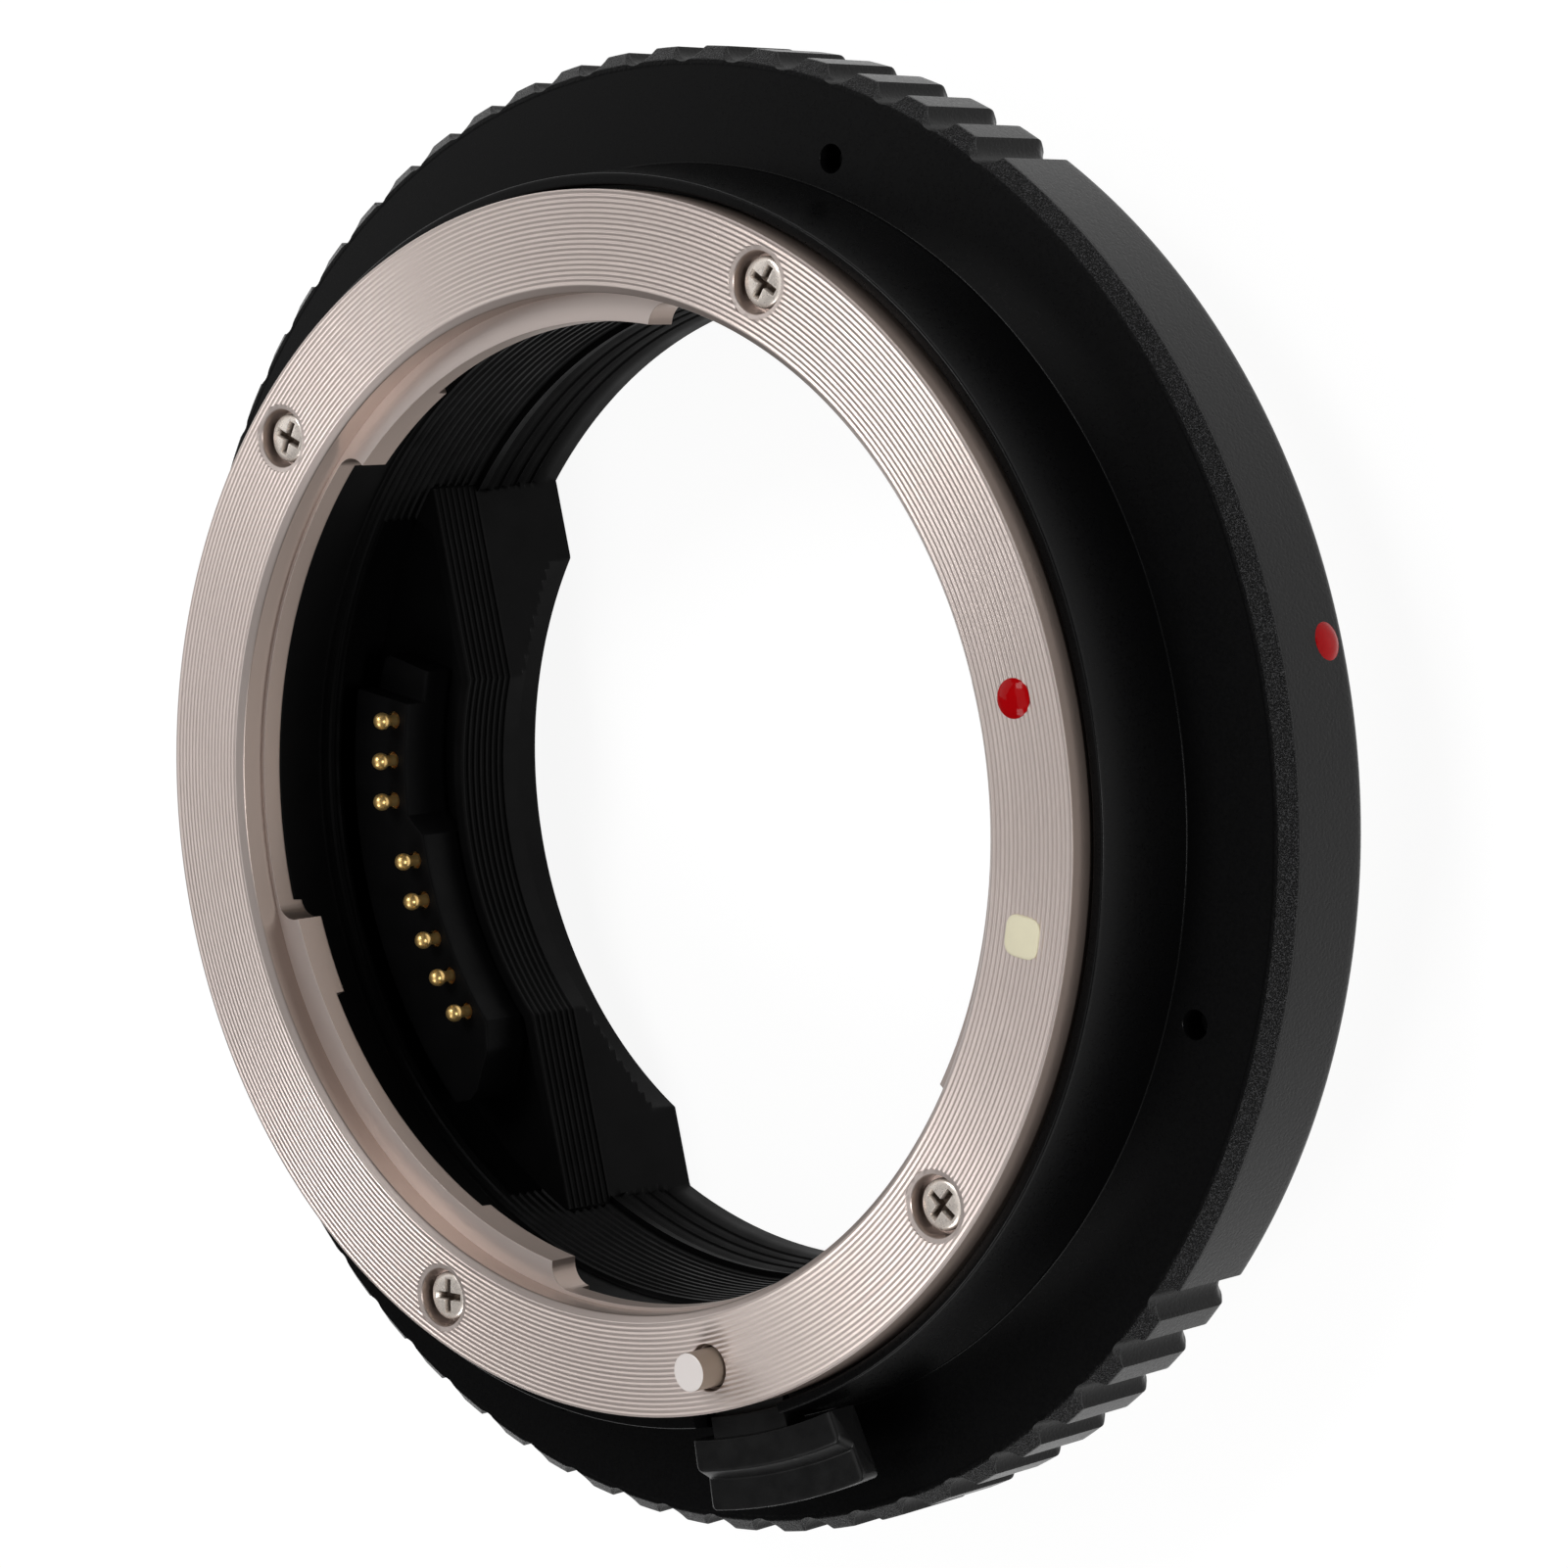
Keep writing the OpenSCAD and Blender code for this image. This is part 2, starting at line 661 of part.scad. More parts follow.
module rear_bayonet_ring() {
    color([0.78, 0.77, 0.75])
    difference() {
        union() {
            rotate_extrude()
                polygon([
                    [tube_bore_r, 0], [tube_r - 0.2, 0], [tube_r, 0.2], [tube_r, tube_len],
                    [rear_flange_r - 0.2, tube_len], [rear_flange_r, tube_len + 0.2],
                    [rear_flange_r, neck_z], [tube_bore_r, neck_z]
                ]);
            for (k = [0 : 3])
                sector(tube_r - 0.3, lug_r, 45 + k * 90 - lug_angle / 2,
                       45 + k * 90 + lug_angle / 2, lug_z, lug_z + lug_t);
        }
        for (az = rear_screw_az) {
            at(rear_screw_circle_r, az, tube_len - 0.01)
                cylinder(r1 = rear_head_r + 0.05, r2 = rear_shank_r + 0.05, h = 0.65, $fn = 48);
            at(rear_screw_circle_r, az, tube_len - over)
                cylinder(r = rear_shank_r + 0.05, h = neck_z - tube_len + 2 * over, $fn = 32);
        }
        // slot for the camera's own lock pin
        at(rear_screw_circle_r, -90, tube_len - over)
            cylinder(r = 1.2, h = 1.2 + over, $fn = 48);
    }
}

module rear_screw(i) {
    color([0.8, 0.79, 0.77])
        at(rear_screw_circle_r, rear_screw_az[i], tube_len)
            difference() {
                union() {
                    cylinder(r1 = rear_head_r, r2 = rear_shank_r, h = 0.6, $fn = 48);
                    cylinder(r = rear_shank_r, h = rear_shank_len, $fn = 32);
                }
                for (turn = [0, 90])
                    rotate([0, 0, turn])
                        translate([-0.75, -0.16, -over])
                            cube([1.5, 0.32, 0.4 + over]);
            }
}

body_shell();
front_bayonet_ring();
ring_screw(0);  // ring_screw_1
ring_screw(1);  // ring_screw_2
ring_screw(2);  // ring_screw_3
ring_screw(3);  // ring_screw_4
ring_index_dot();
ring_square_mark();
band_index_dot();
lock_pin();
release_lever();
inner_sleeve();
contact_block();
contact(0);  // contact_1
contact(1);  // contact_2
contact(2);  // contact_3
contact(3);  // contact_4
contact(4);  // contact_5
contact(5);  // contact_6
contact(6);  // contact_7
contact(7);  // contact_8
rear_baffle();
rear_bayonet_ring();
rear_contact_pads();
rear_screw(0);  // rear_screw_1
rear_screw(1);  // rear_screw_2
rear_screw(2);  // rear_screw_3
rear_screw(3);  // rear_screw_4
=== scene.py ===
# %% [markdown]
# # A lens mount adapter, one surface at a time
# The object is a short black ring that joins a lens to a camera: a plated bayonet on top,
# a fluted band, a release lever, a moulded light trap with gold contacts and a second
# bayonet below. Nearly every part was turned on a lathe, so nearly every part here is
# one idea: a profile of radius and height, carried round the axis, whose corners may
# change with the angle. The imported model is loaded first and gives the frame.

import bmesh
import bpy
import numpy as np
from mathutils import Matrix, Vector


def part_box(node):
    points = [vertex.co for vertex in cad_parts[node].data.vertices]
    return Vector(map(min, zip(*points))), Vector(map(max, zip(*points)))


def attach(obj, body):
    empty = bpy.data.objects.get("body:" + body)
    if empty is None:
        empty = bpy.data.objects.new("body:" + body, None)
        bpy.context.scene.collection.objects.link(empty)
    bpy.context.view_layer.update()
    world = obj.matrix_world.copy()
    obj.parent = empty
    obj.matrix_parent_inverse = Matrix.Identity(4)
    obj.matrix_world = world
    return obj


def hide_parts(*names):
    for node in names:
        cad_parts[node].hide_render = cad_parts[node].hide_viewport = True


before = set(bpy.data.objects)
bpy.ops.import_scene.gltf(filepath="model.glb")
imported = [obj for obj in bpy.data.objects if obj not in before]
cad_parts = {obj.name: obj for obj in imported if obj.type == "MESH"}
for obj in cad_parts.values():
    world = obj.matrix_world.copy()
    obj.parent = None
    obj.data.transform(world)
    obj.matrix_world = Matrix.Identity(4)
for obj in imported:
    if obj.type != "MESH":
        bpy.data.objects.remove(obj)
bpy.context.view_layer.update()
MM = 0.001
scene = bpy.context.scene


# %% [markdown]
# ## Where the photographer stood
# The photograph looks at the face at a slant, with the axis of the object pointing to
# the left. A camera model fitted to the edges of the rings gave the place, the turn and
# the long lens. The three rows are the picture's right, up and backward directions.

# %% Camera
VIEW = np.array([[0.72743837, -0.18867348, -0.65972399],
                 [0.18245483, 0.98002769, -0.07909458],
                 [0.66147083, -0.0628334, 0.74733414]])
EYE = np.array([173.83976847, -16.51473022, 201.1323031])
FOCAL_PX = 4866.087
PICTURE_PX = 1601

camera_data = bpy.data.cameras.new("photo_camera")
camera_data.sensor_width = 36.0
camera_data.lens = FOCAL_PX / PICTURE_PX * 36.0
camera_data.clip_start = 0.01
camera_data.clip_end = 20.0
camera = bpy.data.objects.new("photo_camera", camera_data)
placed = np.eye(4)
placed[:3, :3] = VIEW.T
placed[:3, 3] = EYE * MM
camera.matrix_world = Matrix(placed.tolist())
scene.collection.objects.link(camera)
scene.camera = camera
scene.view_settings.view_transform = "Standard"
print("lens", round(camera_data.lens, 1), "mm")


# %% [markdown]
# ## From arrays to a mesh
# A turned part is a grid: one column for each angle, one row for each point of the
# profile. Keeping the columns free to differ lets the same grid make flutes, tabs,
# notches and lugs. Real edges are never knife sharp, so each corner of the profile is
# replaced by a short curve with a holding row on each side, which keeps the shading of
# the flat walls flat.

# %% Helpers for turned surfaces
def soften(keys, radii, steps=3):
    """Corner points (columns, corners, 2) with each corner rounded.

    A corner K with neighbours A and B becomes the curve
    (1-u)^2 P + 2u(1-u) K + u^2 Q, where P and Q lie on KA and KB at the rounding
    distance, never past 45% of the shorter side. A corner of radius 0 stays a point.
    """
    before = np.roll(keys, 1, axis=1) - keys
    after = np.roll(keys, -1, axis=1) - keys
    len_b = np.maximum(np.linalg.norm(before, axis=2, keepdims=True), 1e-9)
    len_a = np.maximum(np.linalg.norm(after, axis=2, keepdims=True), 1e-9)
    rows = []
    for i, radius in enumerate(radii):
        k = keys[:, i]
        if radius == 0:
            rows.append(k)
            continue
        reach = np.minimum(radius, 0.45 * np.minimum(len_b[:, i], len_a[:, i]))
        p = k + before[:, i] / len_b[:, i] * reach
        q = k + after[:, i] / len_a[:, i] * reach
        hold_p = k + before[:, i] / len_b[:, i] * np.minimum(2.2 * reach, 0.48 * len_b[:, i])
        hold_q = k + after[:, i] / len_a[:, i] * np.minimum(2.2 * reach, 0.48 * len_a[:, i])
        rows.append(hold_p)
        for u in np.linspace(0, 1, steps + 1):
            rows.append((1 - u) ** 2 * p + 2 * u * (1 - u) * k + u ** 2 * q)
        rows.append(hold_q)
    return np.stack(rows, axis=1)


def turned(azimuth, profile):
    """Points of a profile (columns, rows, 2) carried round the axis.

    x = r cos(azimuth), y = r sin(azimuth), z = height.
    """
    angle = np.radians(azimuth)[:, None]
    r, z = profile[..., 0], profile[..., 1]
    return np.stack([r * np.cos(angle), r * np.sin(angle), z], axis=-1)


def grid_faces(columns, rows, ring=True, loop=True):
    """Four-cornered faces between neighbouring columns and rows, joined up at the ends."""
    i = np.arange(columns if ring else columns - 1)[:, None]
    j = np.arange(rows if loop else rows - 1)[None, :]
    i2, j2 = (i + 1) % columns, (j + 1) % rows
    return np.stack([i * rows + j, i2 * rows + j, i2 * rows + j2, i * rows + j2],
                    axis=-1).reshape(-1, 4)


def make_piece(name, points, faces, finish, body, smooth=32.0, weld=2e-4):
    """One piece from points in millimetres, welded, closed and facing outwards."""
    mesh = bpy.data.meshes.new(name)
    mesh.from_pydata((np.asarray(points) * MM).tolist(), [], np.asarray(faces).tolist())
    work = bmesh.new()
    work.from_mesh(mesh)
    bmesh.ops.remove_doubles(work, verts=work.verts, dist=weld * MM)
    bmesh.ops.dissolve_degenerate(work, edges=work.edges, dist=weld * MM)
    bmesh.ops.recalc_face_normals(work, faces=work.faces)
    work.to_mesh(mesh)
    work.free()
    mesh.polygons.foreach_set("use_smooth", np.ones(len(mesh.polygons), bool))
    mesh.set_sharp_from_angle(angle=np.radians(smooth))
    piece = bpy.data.objects.new(name, mesh)
    scene.collection.objects.link(piece)
    mesh.materials.append(finishes[finish])
    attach(piece, body)
    return piece


def turned_piece(name, azimuth, profile, finish, body, ring=True, **more):
    """A piece whose closed profile is carried round the axis, or along part of it."""
    points = turned(azimuth, profile)
    faces = grid_faces(points.shape[0], points.shape[1], ring)
    return make_piece(name, points.reshape(-1, 3), faces, finish, body, **more)


def same_all_round(keys, azimuth):
    """One list of corner points repeated for every column."""
    return np.repeat(np.asarray(keys, float)[None], len(azimuth), axis=0)


def cut(piece, cutters):
    """Takes the closed cutters out of a piece and drops them."""
    bpy.context.view_layer.objects.active = piece
    for cutter in cutters:
        step = piece.modifiers.new("cut", "BOOLEAN")
        step.operation = "DIFFERENCE"
        step.solver = "EXACT"
        step.object = cutter
    graph = bpy.context.evaluated_depsgraph_get()
    done = bpy.data.meshes.new_from_object(piece.evaluated_get(graph))
    piece.modifiers.clear()
    old = piece.data
    piece.data = done
    done.name = old.name
    bpy.data.meshes.remove(old)
    for cutter in cutters:
        bpy.data.objects.remove(cutter)
    done.polygons.foreach_set("use_smooth", np.ones(len(done.polygons), bool))
    done.set_sharp_from_angle(angle=np.radians(32.0))
    return piece


def break_edges(piece, width_mm):
    """Rounds the sharp edges of a cut piece by a small width."""
    step = piece.modifiers.new("edges", "BEVEL")
    step.width = width_mm * MM
    step.segments = 2
    step.limit_method = "ANGLE"
    step.angle_limit = np.radians(35.0)
    graph = bpy.context.evaluated_depsgraph_get()
    done = bpy.data.meshes.new_from_object(piece.evaluated_get(graph))
    piece.modifiers.clear()
    old, piece.data = piece.data, done
    bpy.data.meshes.remove(old)
    done.polygons.foreach_set("use_smooth", np.ones(len(done.polygons), bool))
    done.set_sharp_from_angle(angle=np.radians(45.0))


def cutter_of(points, faces):
    """A plain closed mesh used only for cutting."""
    mesh = bpy.data.meshes.new("cutter")
    mesh.from_pydata((np.asarray(points) * MM).tolist(), [], np.asarray(faces).tolist())
    work = bmesh.new()
    work.from_mesh(mesh)
    bmesh.ops.remove_doubles(work, verts=work.verts, dist=1e-7)
    bmesh.ops.recalc_face_normals(work, faces=work.faces)
    work.to_mesh(mesh)
    work.free()
    tool = bpy.data.objects.new("cutter", mesh)
    scene.collection.objects.link(tool)
    return tool


def stack_at(radius, azimuth, outline, turns=48, spin=0.0):
    """Points and faces of a small turned solid standing at a place on a circle.

    outline is its own list of radius and height, closed over its own axis.
    """
    theta = np.arange(turns) / turns * 360 + spin
    local = turned(theta, same_all_round(outline, theta))
    a = np.radians(azimuth)
    local[..., 0] += radius * np.cos(a)
    local[..., 1] += radius * np.sin(a)
    return local.reshape(-1, 3), grid_faces(turns, len(outline))


print("helpers ready")


# %% [markdown]
# ## Finishes
# Each finish is built from its own grain. Machined metal has lines that follow the
# tool, so its noise is stretched along radius and height. Blasted and anodised metal
# has a fine random grain that breaks up the gloss. Moulded plastic is duller and
# softer. The node helpers below keep each finish to a few readable lines.

# %% Node helpers
def start_finish(name, colour, metallic=0.0, roughness=0.4, **sockets):
    """A new material with its uniform values on the shader's own sockets."""
    material = bpy.data.materials.new(name)
    material.use_nodes = True
    shader = material.node_tree.nodes["Principled BSDF"]
    shader.inputs["Base Color"].default_value = (*colour, 1.0)
    shader.inputs["Metallic"].default_value = metallic
    shader.inputs["Roughness"].default_value = roughness
    for socket, value in sockets.items():
        shader.inputs[socket.replace("_", " ")].default_value = value
    return material, material.node_tree, shader


def place(tree):
    """The point of the surface in metres, in the frame of the part."""
    return tree.nodes.new("ShaderNodeTexCoord").outputs["Object"]


def sum_of(tree, operation, a, b=0.0):
    """One step of arithmetic on values or sockets."""
    node = tree.nodes.new("ShaderNodeMath")
    node.operation = operation
    for socket, value in zip(node.inputs, (a, b)):
        if isinstance(value, (int, float)):
            socket.default_value = value
        else:
            tree.links.new(value, socket)
    return node.outputs[0]


def radius_and_height(tree):
    """Distance from the axis and height above the rear end, both in metres."""
    where = place(tree)
    flat = tree.nodes.new("ShaderNodeVectorMath")
    flat.operation = "MULTIPLY"
    flat.inputs[1].default_value = (1, 1, 0)
    tree.links.new(where, flat.inputs[0])
    length = tree.nodes.new("ShaderNodeVectorMath")
    length.operation = "LENGTH"
    tree.links.new(flat.outputs[0], length.inputs[0])
    parts = tree.nodes.new("ShaderNodeSeparateXYZ")
    tree.links.new(where, parts.inputs[0])
    return length.outputs["Value"], parts.outputs["Z"]


def grain(tree, per_mm, detail=2.0, along=None):
    """Cloudy noise with a given number of cells per millimetre."""
    node = tree.nodes.new("ShaderNodeTexNoise")
    node.inputs["Scale"].default_value = per_mm / MM
    node.inputs["Detail"].default_value = detail
    if along is None:
        tree.links.new(place(tree), node.inputs["Vector"])
    else:
        node.noise_dimensions = "1D"
        tree.links.new(along, node.inputs["W"])
    return node.outputs[0]


def between(tree, value, low, high, out_low, out_high):
    """Stretches a value from one range to another and clips it."""
    node = tree.nodes.new("ShaderNodeMapRange")
    node.inputs["From Min"].default_value = low
    node.inputs["From Max"].default_value = high
    node.inputs["To Min"].default_value = out_low
    node.inputs["To Max"].default_value = out_high
    tree.links.new(value, node.inputs["Value"])
    return node.outputs[0]


def blend_colours(tree, factor, colour_a, colour_b):
    """Mixes two colours by a factor."""
    node = tree.nodes.new("ShaderNodeMix")
    node.data_type = "RGBA"
    node.inputs["A"].default_value = (*colour_a, 1)
    node.inputs["B"].default_value = (*colour_b, 1)
    tree.links.new(factor, node.inputs["Factor"])
    return node.outputs["Result"]


def relief(tree, shader, height, depth_mm, strength=1.0):
    """Bump of a given depth from a height of 0 to 1."""
    node = tree.nodes.new("ShaderNodeBump")
    node.inputs["Distance"].default_value = depth_mm * MM
    node.inputs["Strength"].default_value = strength
    tree.links.new(height, node.inputs["Height"])
    tree.links.new(node.outputs[0], shader.inputs["Normal"])


finishes = {}


# %% Black anodised body
BODY_BLACK = (0.003, 0.003, 0.0032)


def black_body():
    """Satin black: smooth flange, leathery grain on the band, coarse specks on the chamfer.

    The band is where the radius passes 39 mm; the chamfer is the part of it above
    12.3 mm. Each mask switches its own noise on in the bump, and on the chamfer the
    highest grains are also a little lighter in colour.
    """
    material, tree, shader = start_finish("black_anodised", BODY_BLACK, 0.0, 0.3,
                                          Specular_IOR_Level=0.15)
    r, z = radius_and_height(tree)
    fine, coarse = grain(tree, 5.5, 3.0), grain(tree, 13.0, 2.0)
    on_band = between(tree, r, 0.03895, 0.03905, 0, 1)
    on_chamfer = sum_of(tree, "MULTIPLY", between(tree, r, 0.0392, 0.0393, 0, 1),
                        between(tree, z, 0.01238, 0.01248, 0, 1))
    height = sum_of(tree, "ADD",
                    sum_of(tree, "MULTIPLY", sum_of(tree, "MULTIPLY", fine, on_band), 0.7),
                    sum_of(tree, "MULTIPLY", sum_of(tree, "MULTIPLY", coarse, on_chamfer), 3.0))
    relief(tree, shader, height, 0.03)
    # On the chamfer the highest coarse grains get a lighter grey colour.
    lighter_grain_tops = sum_of(tree, "MULTIPLY", between(tree, coarse, 0.52, 0.64, 0, 1), on_chamfer)
    tree.links.new(blend_colours(tree, lighter_grain_tops, BODY_BLACK, (0.055, 0.055, 0.057)),
                   shader.inputs["Base Color"])
    tree.links.new(between(tree, fine, 0.3, 0.7, 0.26, 0.34), shader.inputs["Roughness"])
    return material


finishes["black_anodised"] = black_body()


# %% Black lever and mouldings
def black_lever():
    """Semi-gloss black with a faint rub along its faces."""
    material, tree, shader = start_finish("black_release", (0.0075, 0.0075, 0.0077), 0.0, 0.34,
                                          Specular_IOR_Level=0.27)
    rub = grain(tree, 0.9, 5.0)
    tree.links.new(between(tree, rub, 0.3, 0.7, 0.28, 0.42), shader.inputs["Roughness"])
    relief(tree, shader, grain(tree, 14.0, 2.0), 0.004)
    return material


def black_plastic(name, colour, rough_low, rough_high):
    """Dull moulded plastic: a soft sheen that wanders and a very fine skin."""
    material, tree, shader = start_finish(name, colour, 0.0, 0.6, Specular_IOR_Level=0.06)
    cloud = grain(tree, 0.5, 4.0)
    tree.links.new(between(tree, cloud, 0.3, 0.7, rough_low, rough_high),
                   shader.inputs["Roughness"])
    relief(tree, shader, grain(tree, 16.0, 2.0), 0.006)
    return material


finishes["black_release"] = black_lever()
finishes["black_moulding"] = black_plastic("black_moulding", (0.0026, 0.0026, 0.0027), 0.4, 0.52)
finishes["contact_moulding"] = black_plastic("contact_moulding", (0.0035, 0.0035, 0.0037), 0.4, 0.52)


# %% Plated rings
def turned_plate(name, colour_a, colour_b, wall, rough_low, rough_high, depth, metallic=0.78):
    """Satin plating over turned metal: fine lines that follow radius and height.

    The lines are one-dimensional noise of radius plus height, so they run round the
    part on the face and on the walls alike; a slow cloud shifts the tint. The walls,
    whose normal has hardly any height, are painted a darker, browner colour: painted
    shade for the dark they reflect.
    """
    material, tree, shader = start_finish(name, colour_a, metallic, 0.5)
    r, z = radius_and_height(tree)
    across = sum_of(tree, "ADD", r, z)
    lines = grain(tree, 22.0, 3.0, along=across)
    cloud = grain(tree, 0.12, 3.0)
    tint = blend_colours(tree, between(tree, cloud, 0.35, 0.65, 0, 1), colour_a, colour_b)
    facing = tree.nodes.new("ShaderNodeNewGeometry")
    parts = tree.nodes.new("ShaderNodeSeparateXYZ")
    tree.links.new(facing.outputs["Normal"], parts.inputs[0])
    # Painted shade: faces whose normal is nearly level take the darker wall colour in place of the tint.
    painted_wall_shade_mask = between(tree, sum_of(tree, "ABSOLUTE", parts.outputs["Z"]), 0.35, 0.75, 1, 0)
    toned = tree.nodes.new("ShaderNodeMix")
    toned.data_type = "RGBA"
    tree.links.new(painted_wall_shade_mask, toned.inputs["Factor"])
    tree.links.new(tint, toned.inputs["A"])
    toned.inputs["B"].default_value = (*wall, 1)
    tree.links.new(toned.outputs["Result"], shader.inputs["Base Color"])
    tree.links.new(between(tree, lines, 0.3, 0.7, rough_low, rough_high),
                   shader.inputs["Roughness"])
    relief(tree, shader, lines, depth)
    return material


# The third colour of each plated ring is the painted shade of its walls.
finishes["plated_ring"] = turned_plate("plated_ring", (0.77, 0.665, 0.62), (0.8, 0.695, 0.65),
                                       (0.39, 0.31, 0.27), 0.33, 0.43, 0.0025)
finishes["rear_plated_ring"] = turned_plate("rear_plated_ring", (0.6, 0.585, 0.56), (0.65, 0.635, 0.61),
                                            (0.4, 0.39, 0.37), 0.3, 0.42, 0.002)


# %% Screws, pin, gold and marks
def bright_metal(name, colour, rough_low, rough_high, per_mm, depth, metallic=1.0):
    """Plated small part: a polished metal with a fine cloud of scratches."""
    material, tree, shader = start_finish(name, colour, metallic, 0.2)
    marks = grain(tree, per_mm, 4.0)
    tree.links.new(between(tree, marks, 0.3, 0.7, rough_low, rough_high),
                   shader.inputs["Roughness"])
    relief(tree, shader, marks, depth)
    return material, tree, shader


def screw_plating():
    """Bright nickel with painted shade: the colour turns dark brown in the driver's recess and on the head's
    flank.
    """
    nickel = (1.0, 0.91, 0.83)
    material, tree, shader = bright_metal("screw_metal", nickel, 0.22, 0.34, 3.0, 0.012, 0.5)
    _, z = radius_and_height(tree)
    # Painted shade: below about 19.7 mm, and above 15.1 mm so only on the front screws, the nickel colour is
    # blended to dark brown.
    painted_recess_shade = between(tree, z, 0.01966, 0.01988, 1, 0)
    front = between(tree, z, 0.0150, 0.0151, 0, 1)
    shade = blend_colours(tree, sum_of(tree, "MULTIPLY", painted_recess_shade, front), nickel, (0.11, 0.08, 0.06))
    tree.links.new(shade, shader.inputs["Base Color"])
    return material


def enamel(name, colour_a, colour_b, roughness):
    """A drop of enamel: colour that deepens in patches under a clear glossy skin."""
    material, tree, shader = start_finish(name, colour_a, 0.0, roughness, Coat_Weight=0.03,
                                          Coat_Roughness=0.04, Specular_IOR_Level=0.1)
    cloud = grain(tree, 0.8, 3.0)
    tint = blend_colours(tree, between(tree, cloud, 0.35, 0.65, 0, 1), colour_a, colour_b)
    tree.links.new(tint, shader.inputs["Base Color"])
    relief(tree, shader, grain(tree, 2.0, 2.0), 0.01)
    return material


finishes["screw_metal"] = screw_plating()
# The pin's third colour is the painted shade of its sides.
finishes["pin_metal"] = turned_plate("pin_metal", (1.0, 0.93, 0.9), (0.98, 0.91, 0.88),
                                     (0.36, 0.28, 0.22), 0.4, 0.5, 0.002, 0.1)
finishes["contact_gold"] = bright_metal("contact_gold", (0.98, 0.66, 0.25), 0.28, 0.38, 6.0, 0.001, 0.84)[0]
finishes["red_mark"] = enamel("red_mark", (0.5, 0.002, 0.004), (0.42, 0.001, 0.003), 0.1)
finishes["cream_mark"] = enamel("cream_mark", (0.93, 0.87, 0.64), (0.9, 0.84, 0.62), 0.35)
print("finishes", sorted(finishes))


# %% [markdown]
# ## The body
# The body was turned from one bar: a recess for the plated ring, a collar, a wide flat
# flange and a band. Then 53 flutes were milled with a round cutter whose axis is
# parallel to the light axis, so each flute cuts the band and the flange edge as a small
# scallop. In this grid a flute is only a smaller band radius for some of the columns.
# The columns crowd together where a flute begins, so its edges stay crisp.

# %% Body shell
FLUTE_FIRST, FLUTE_LAST, FLUTE_PITCH = 44.5, 310.0, 5.1
FLUTE_R, FLUTE_DEPTH, BAND_R = 1.05, 0.85, 40.0
FLUTE_CENTRES = np.arange(FLUTE_FIRST, FLUTE_LAST + 0.01, FLUTE_PITCH)
PIN_AZ = -88.0
NOTCH_HALF = 5.3


def flute_radius(azimuth):
    """Band radius at each angle: the smaller of the band and the near side of a flute.

    The near side of a cutter circle of radius c at distance d from the axis is
    d cos(a) - sqrt(c^2 - d^2 sin^2(a)); a smooth minimum rounds the flute's edge.
    """
    d = BAND_R - FLUTE_DEPTH + FLUTE_R
    away = azimuth[:, None] - FLUTE_CENTRES[None, :]
    away = np.radians((away + 180) % 360 - 180)
    inside = FLUTE_R ** 2 - (d * np.sin(away)) ** 2
    near = np.where((inside > 0) & (np.cos(away) > 0),
                    d * np.cos(away) - np.sqrt(np.maximum(inside, 0)), BAND_R + 1).min(axis=1)
    width = 0.1
    mix = np.maximum(width - np.abs(near - BAND_R), 0) / width
    return np.minimum(near, BAND_R) - mix ** 2 * width * 0.25


def body_columns():
    """Angles of the columns, dense across each flute and beside the lever's notch."""
    half = 1.4729
    across = np.array([-1.5, -1.18, -1.09, -1.03, -0.99, -0.95, -0.88, -0.76, -0.6, -0.4, -0.2,
                       0.0, 0.2, 0.4, 0.6, 0.76, 0.88, 0.95, 0.99, 1.03, 1.09, 1.18, 1.5]) * half
    fluted = (FLUTE_CENTRES[:, None] + across[None, :]).ravel()
    plain = np.arange(FLUTE_LAST + 3, FLUTE_FIRST + 360 - 2.5, 0.75)
    notch = np.array([PIN_AZ - NOTCH_HALF, PIN_AZ + NOTCH_HALF])
    notch = (notch[:, None] + np.array([-0.06, -0.012, 0.012, 0.06])[None, :]).ravel()
    every = np.concatenate([fluted, plain, notch]) % 360
    every = np.unique(np.round(every, 4))
    return every


az = body_columns()
band = flute_radius(az)
one = np.ones_like(az)
in_notch = np.abs((az - PIN_AZ + 180) % 360 - 180) < NOTCH_HALF
rim = np.where(in_notch, 14.85, 19.2)
seat = np.where(in_notch, 14.85, 18.1)
collar_top = np.where(in_notch, 33.69, 33.2)
face_edge = np.minimum(39.25, band)
chamfer_low = 13.2 - np.maximum(band - 39.25, 0.03)
body_keys = np.stack([np.stack(pair, axis=1) for pair in [
    (29.0 * one, 5.0 * one), (36.8 * one, 5.0 * one), (36.8 * one, 6.4 * one),
    (band - 0.75, 6.4 * one), (band, 7.15 * one), (band, chamfer_low), (face_edge, 13.2 * one),
    (33.8 * one, 13.2 * one), (collar_top, rim), (32.6 * one, rim), (32.6 * one, seat),
    (29.0 * one, seat)]], axis=1)
body_profile = soften(body_keys, [0.05, 0.15, 0.05, 0.3, 0.3, 0.09, 0.08, 0.05, 0.1, 0.08, 0.04, 0.05])
body_shell = turned_piece("body_turned", az, body_profile, "black_anodised", "adapter")
FLANGE_HOLE_R = 0.75
holes = [cutter_of(*stack_at(35.5, a, [[0, 11.2], [0.45, 11.4], [FLANGE_HOLE_R, 11.6],
                                       [FLANGE_HOLE_R, 13.17], [FLANGE_HOLE_R + 0.04, 13.22],
                                       [FLANGE_HOLE_R + 0.04, 13.6], [0, 13.6]], 32))
         for a in (-29, 58, 148, 241)]
cut(body_shell, holes)
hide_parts("body_shell")
print("body", len(az), "columns,", len(FLUTE_CENTRES), "flutes,", len(body_shell.data.polygons), "faces")


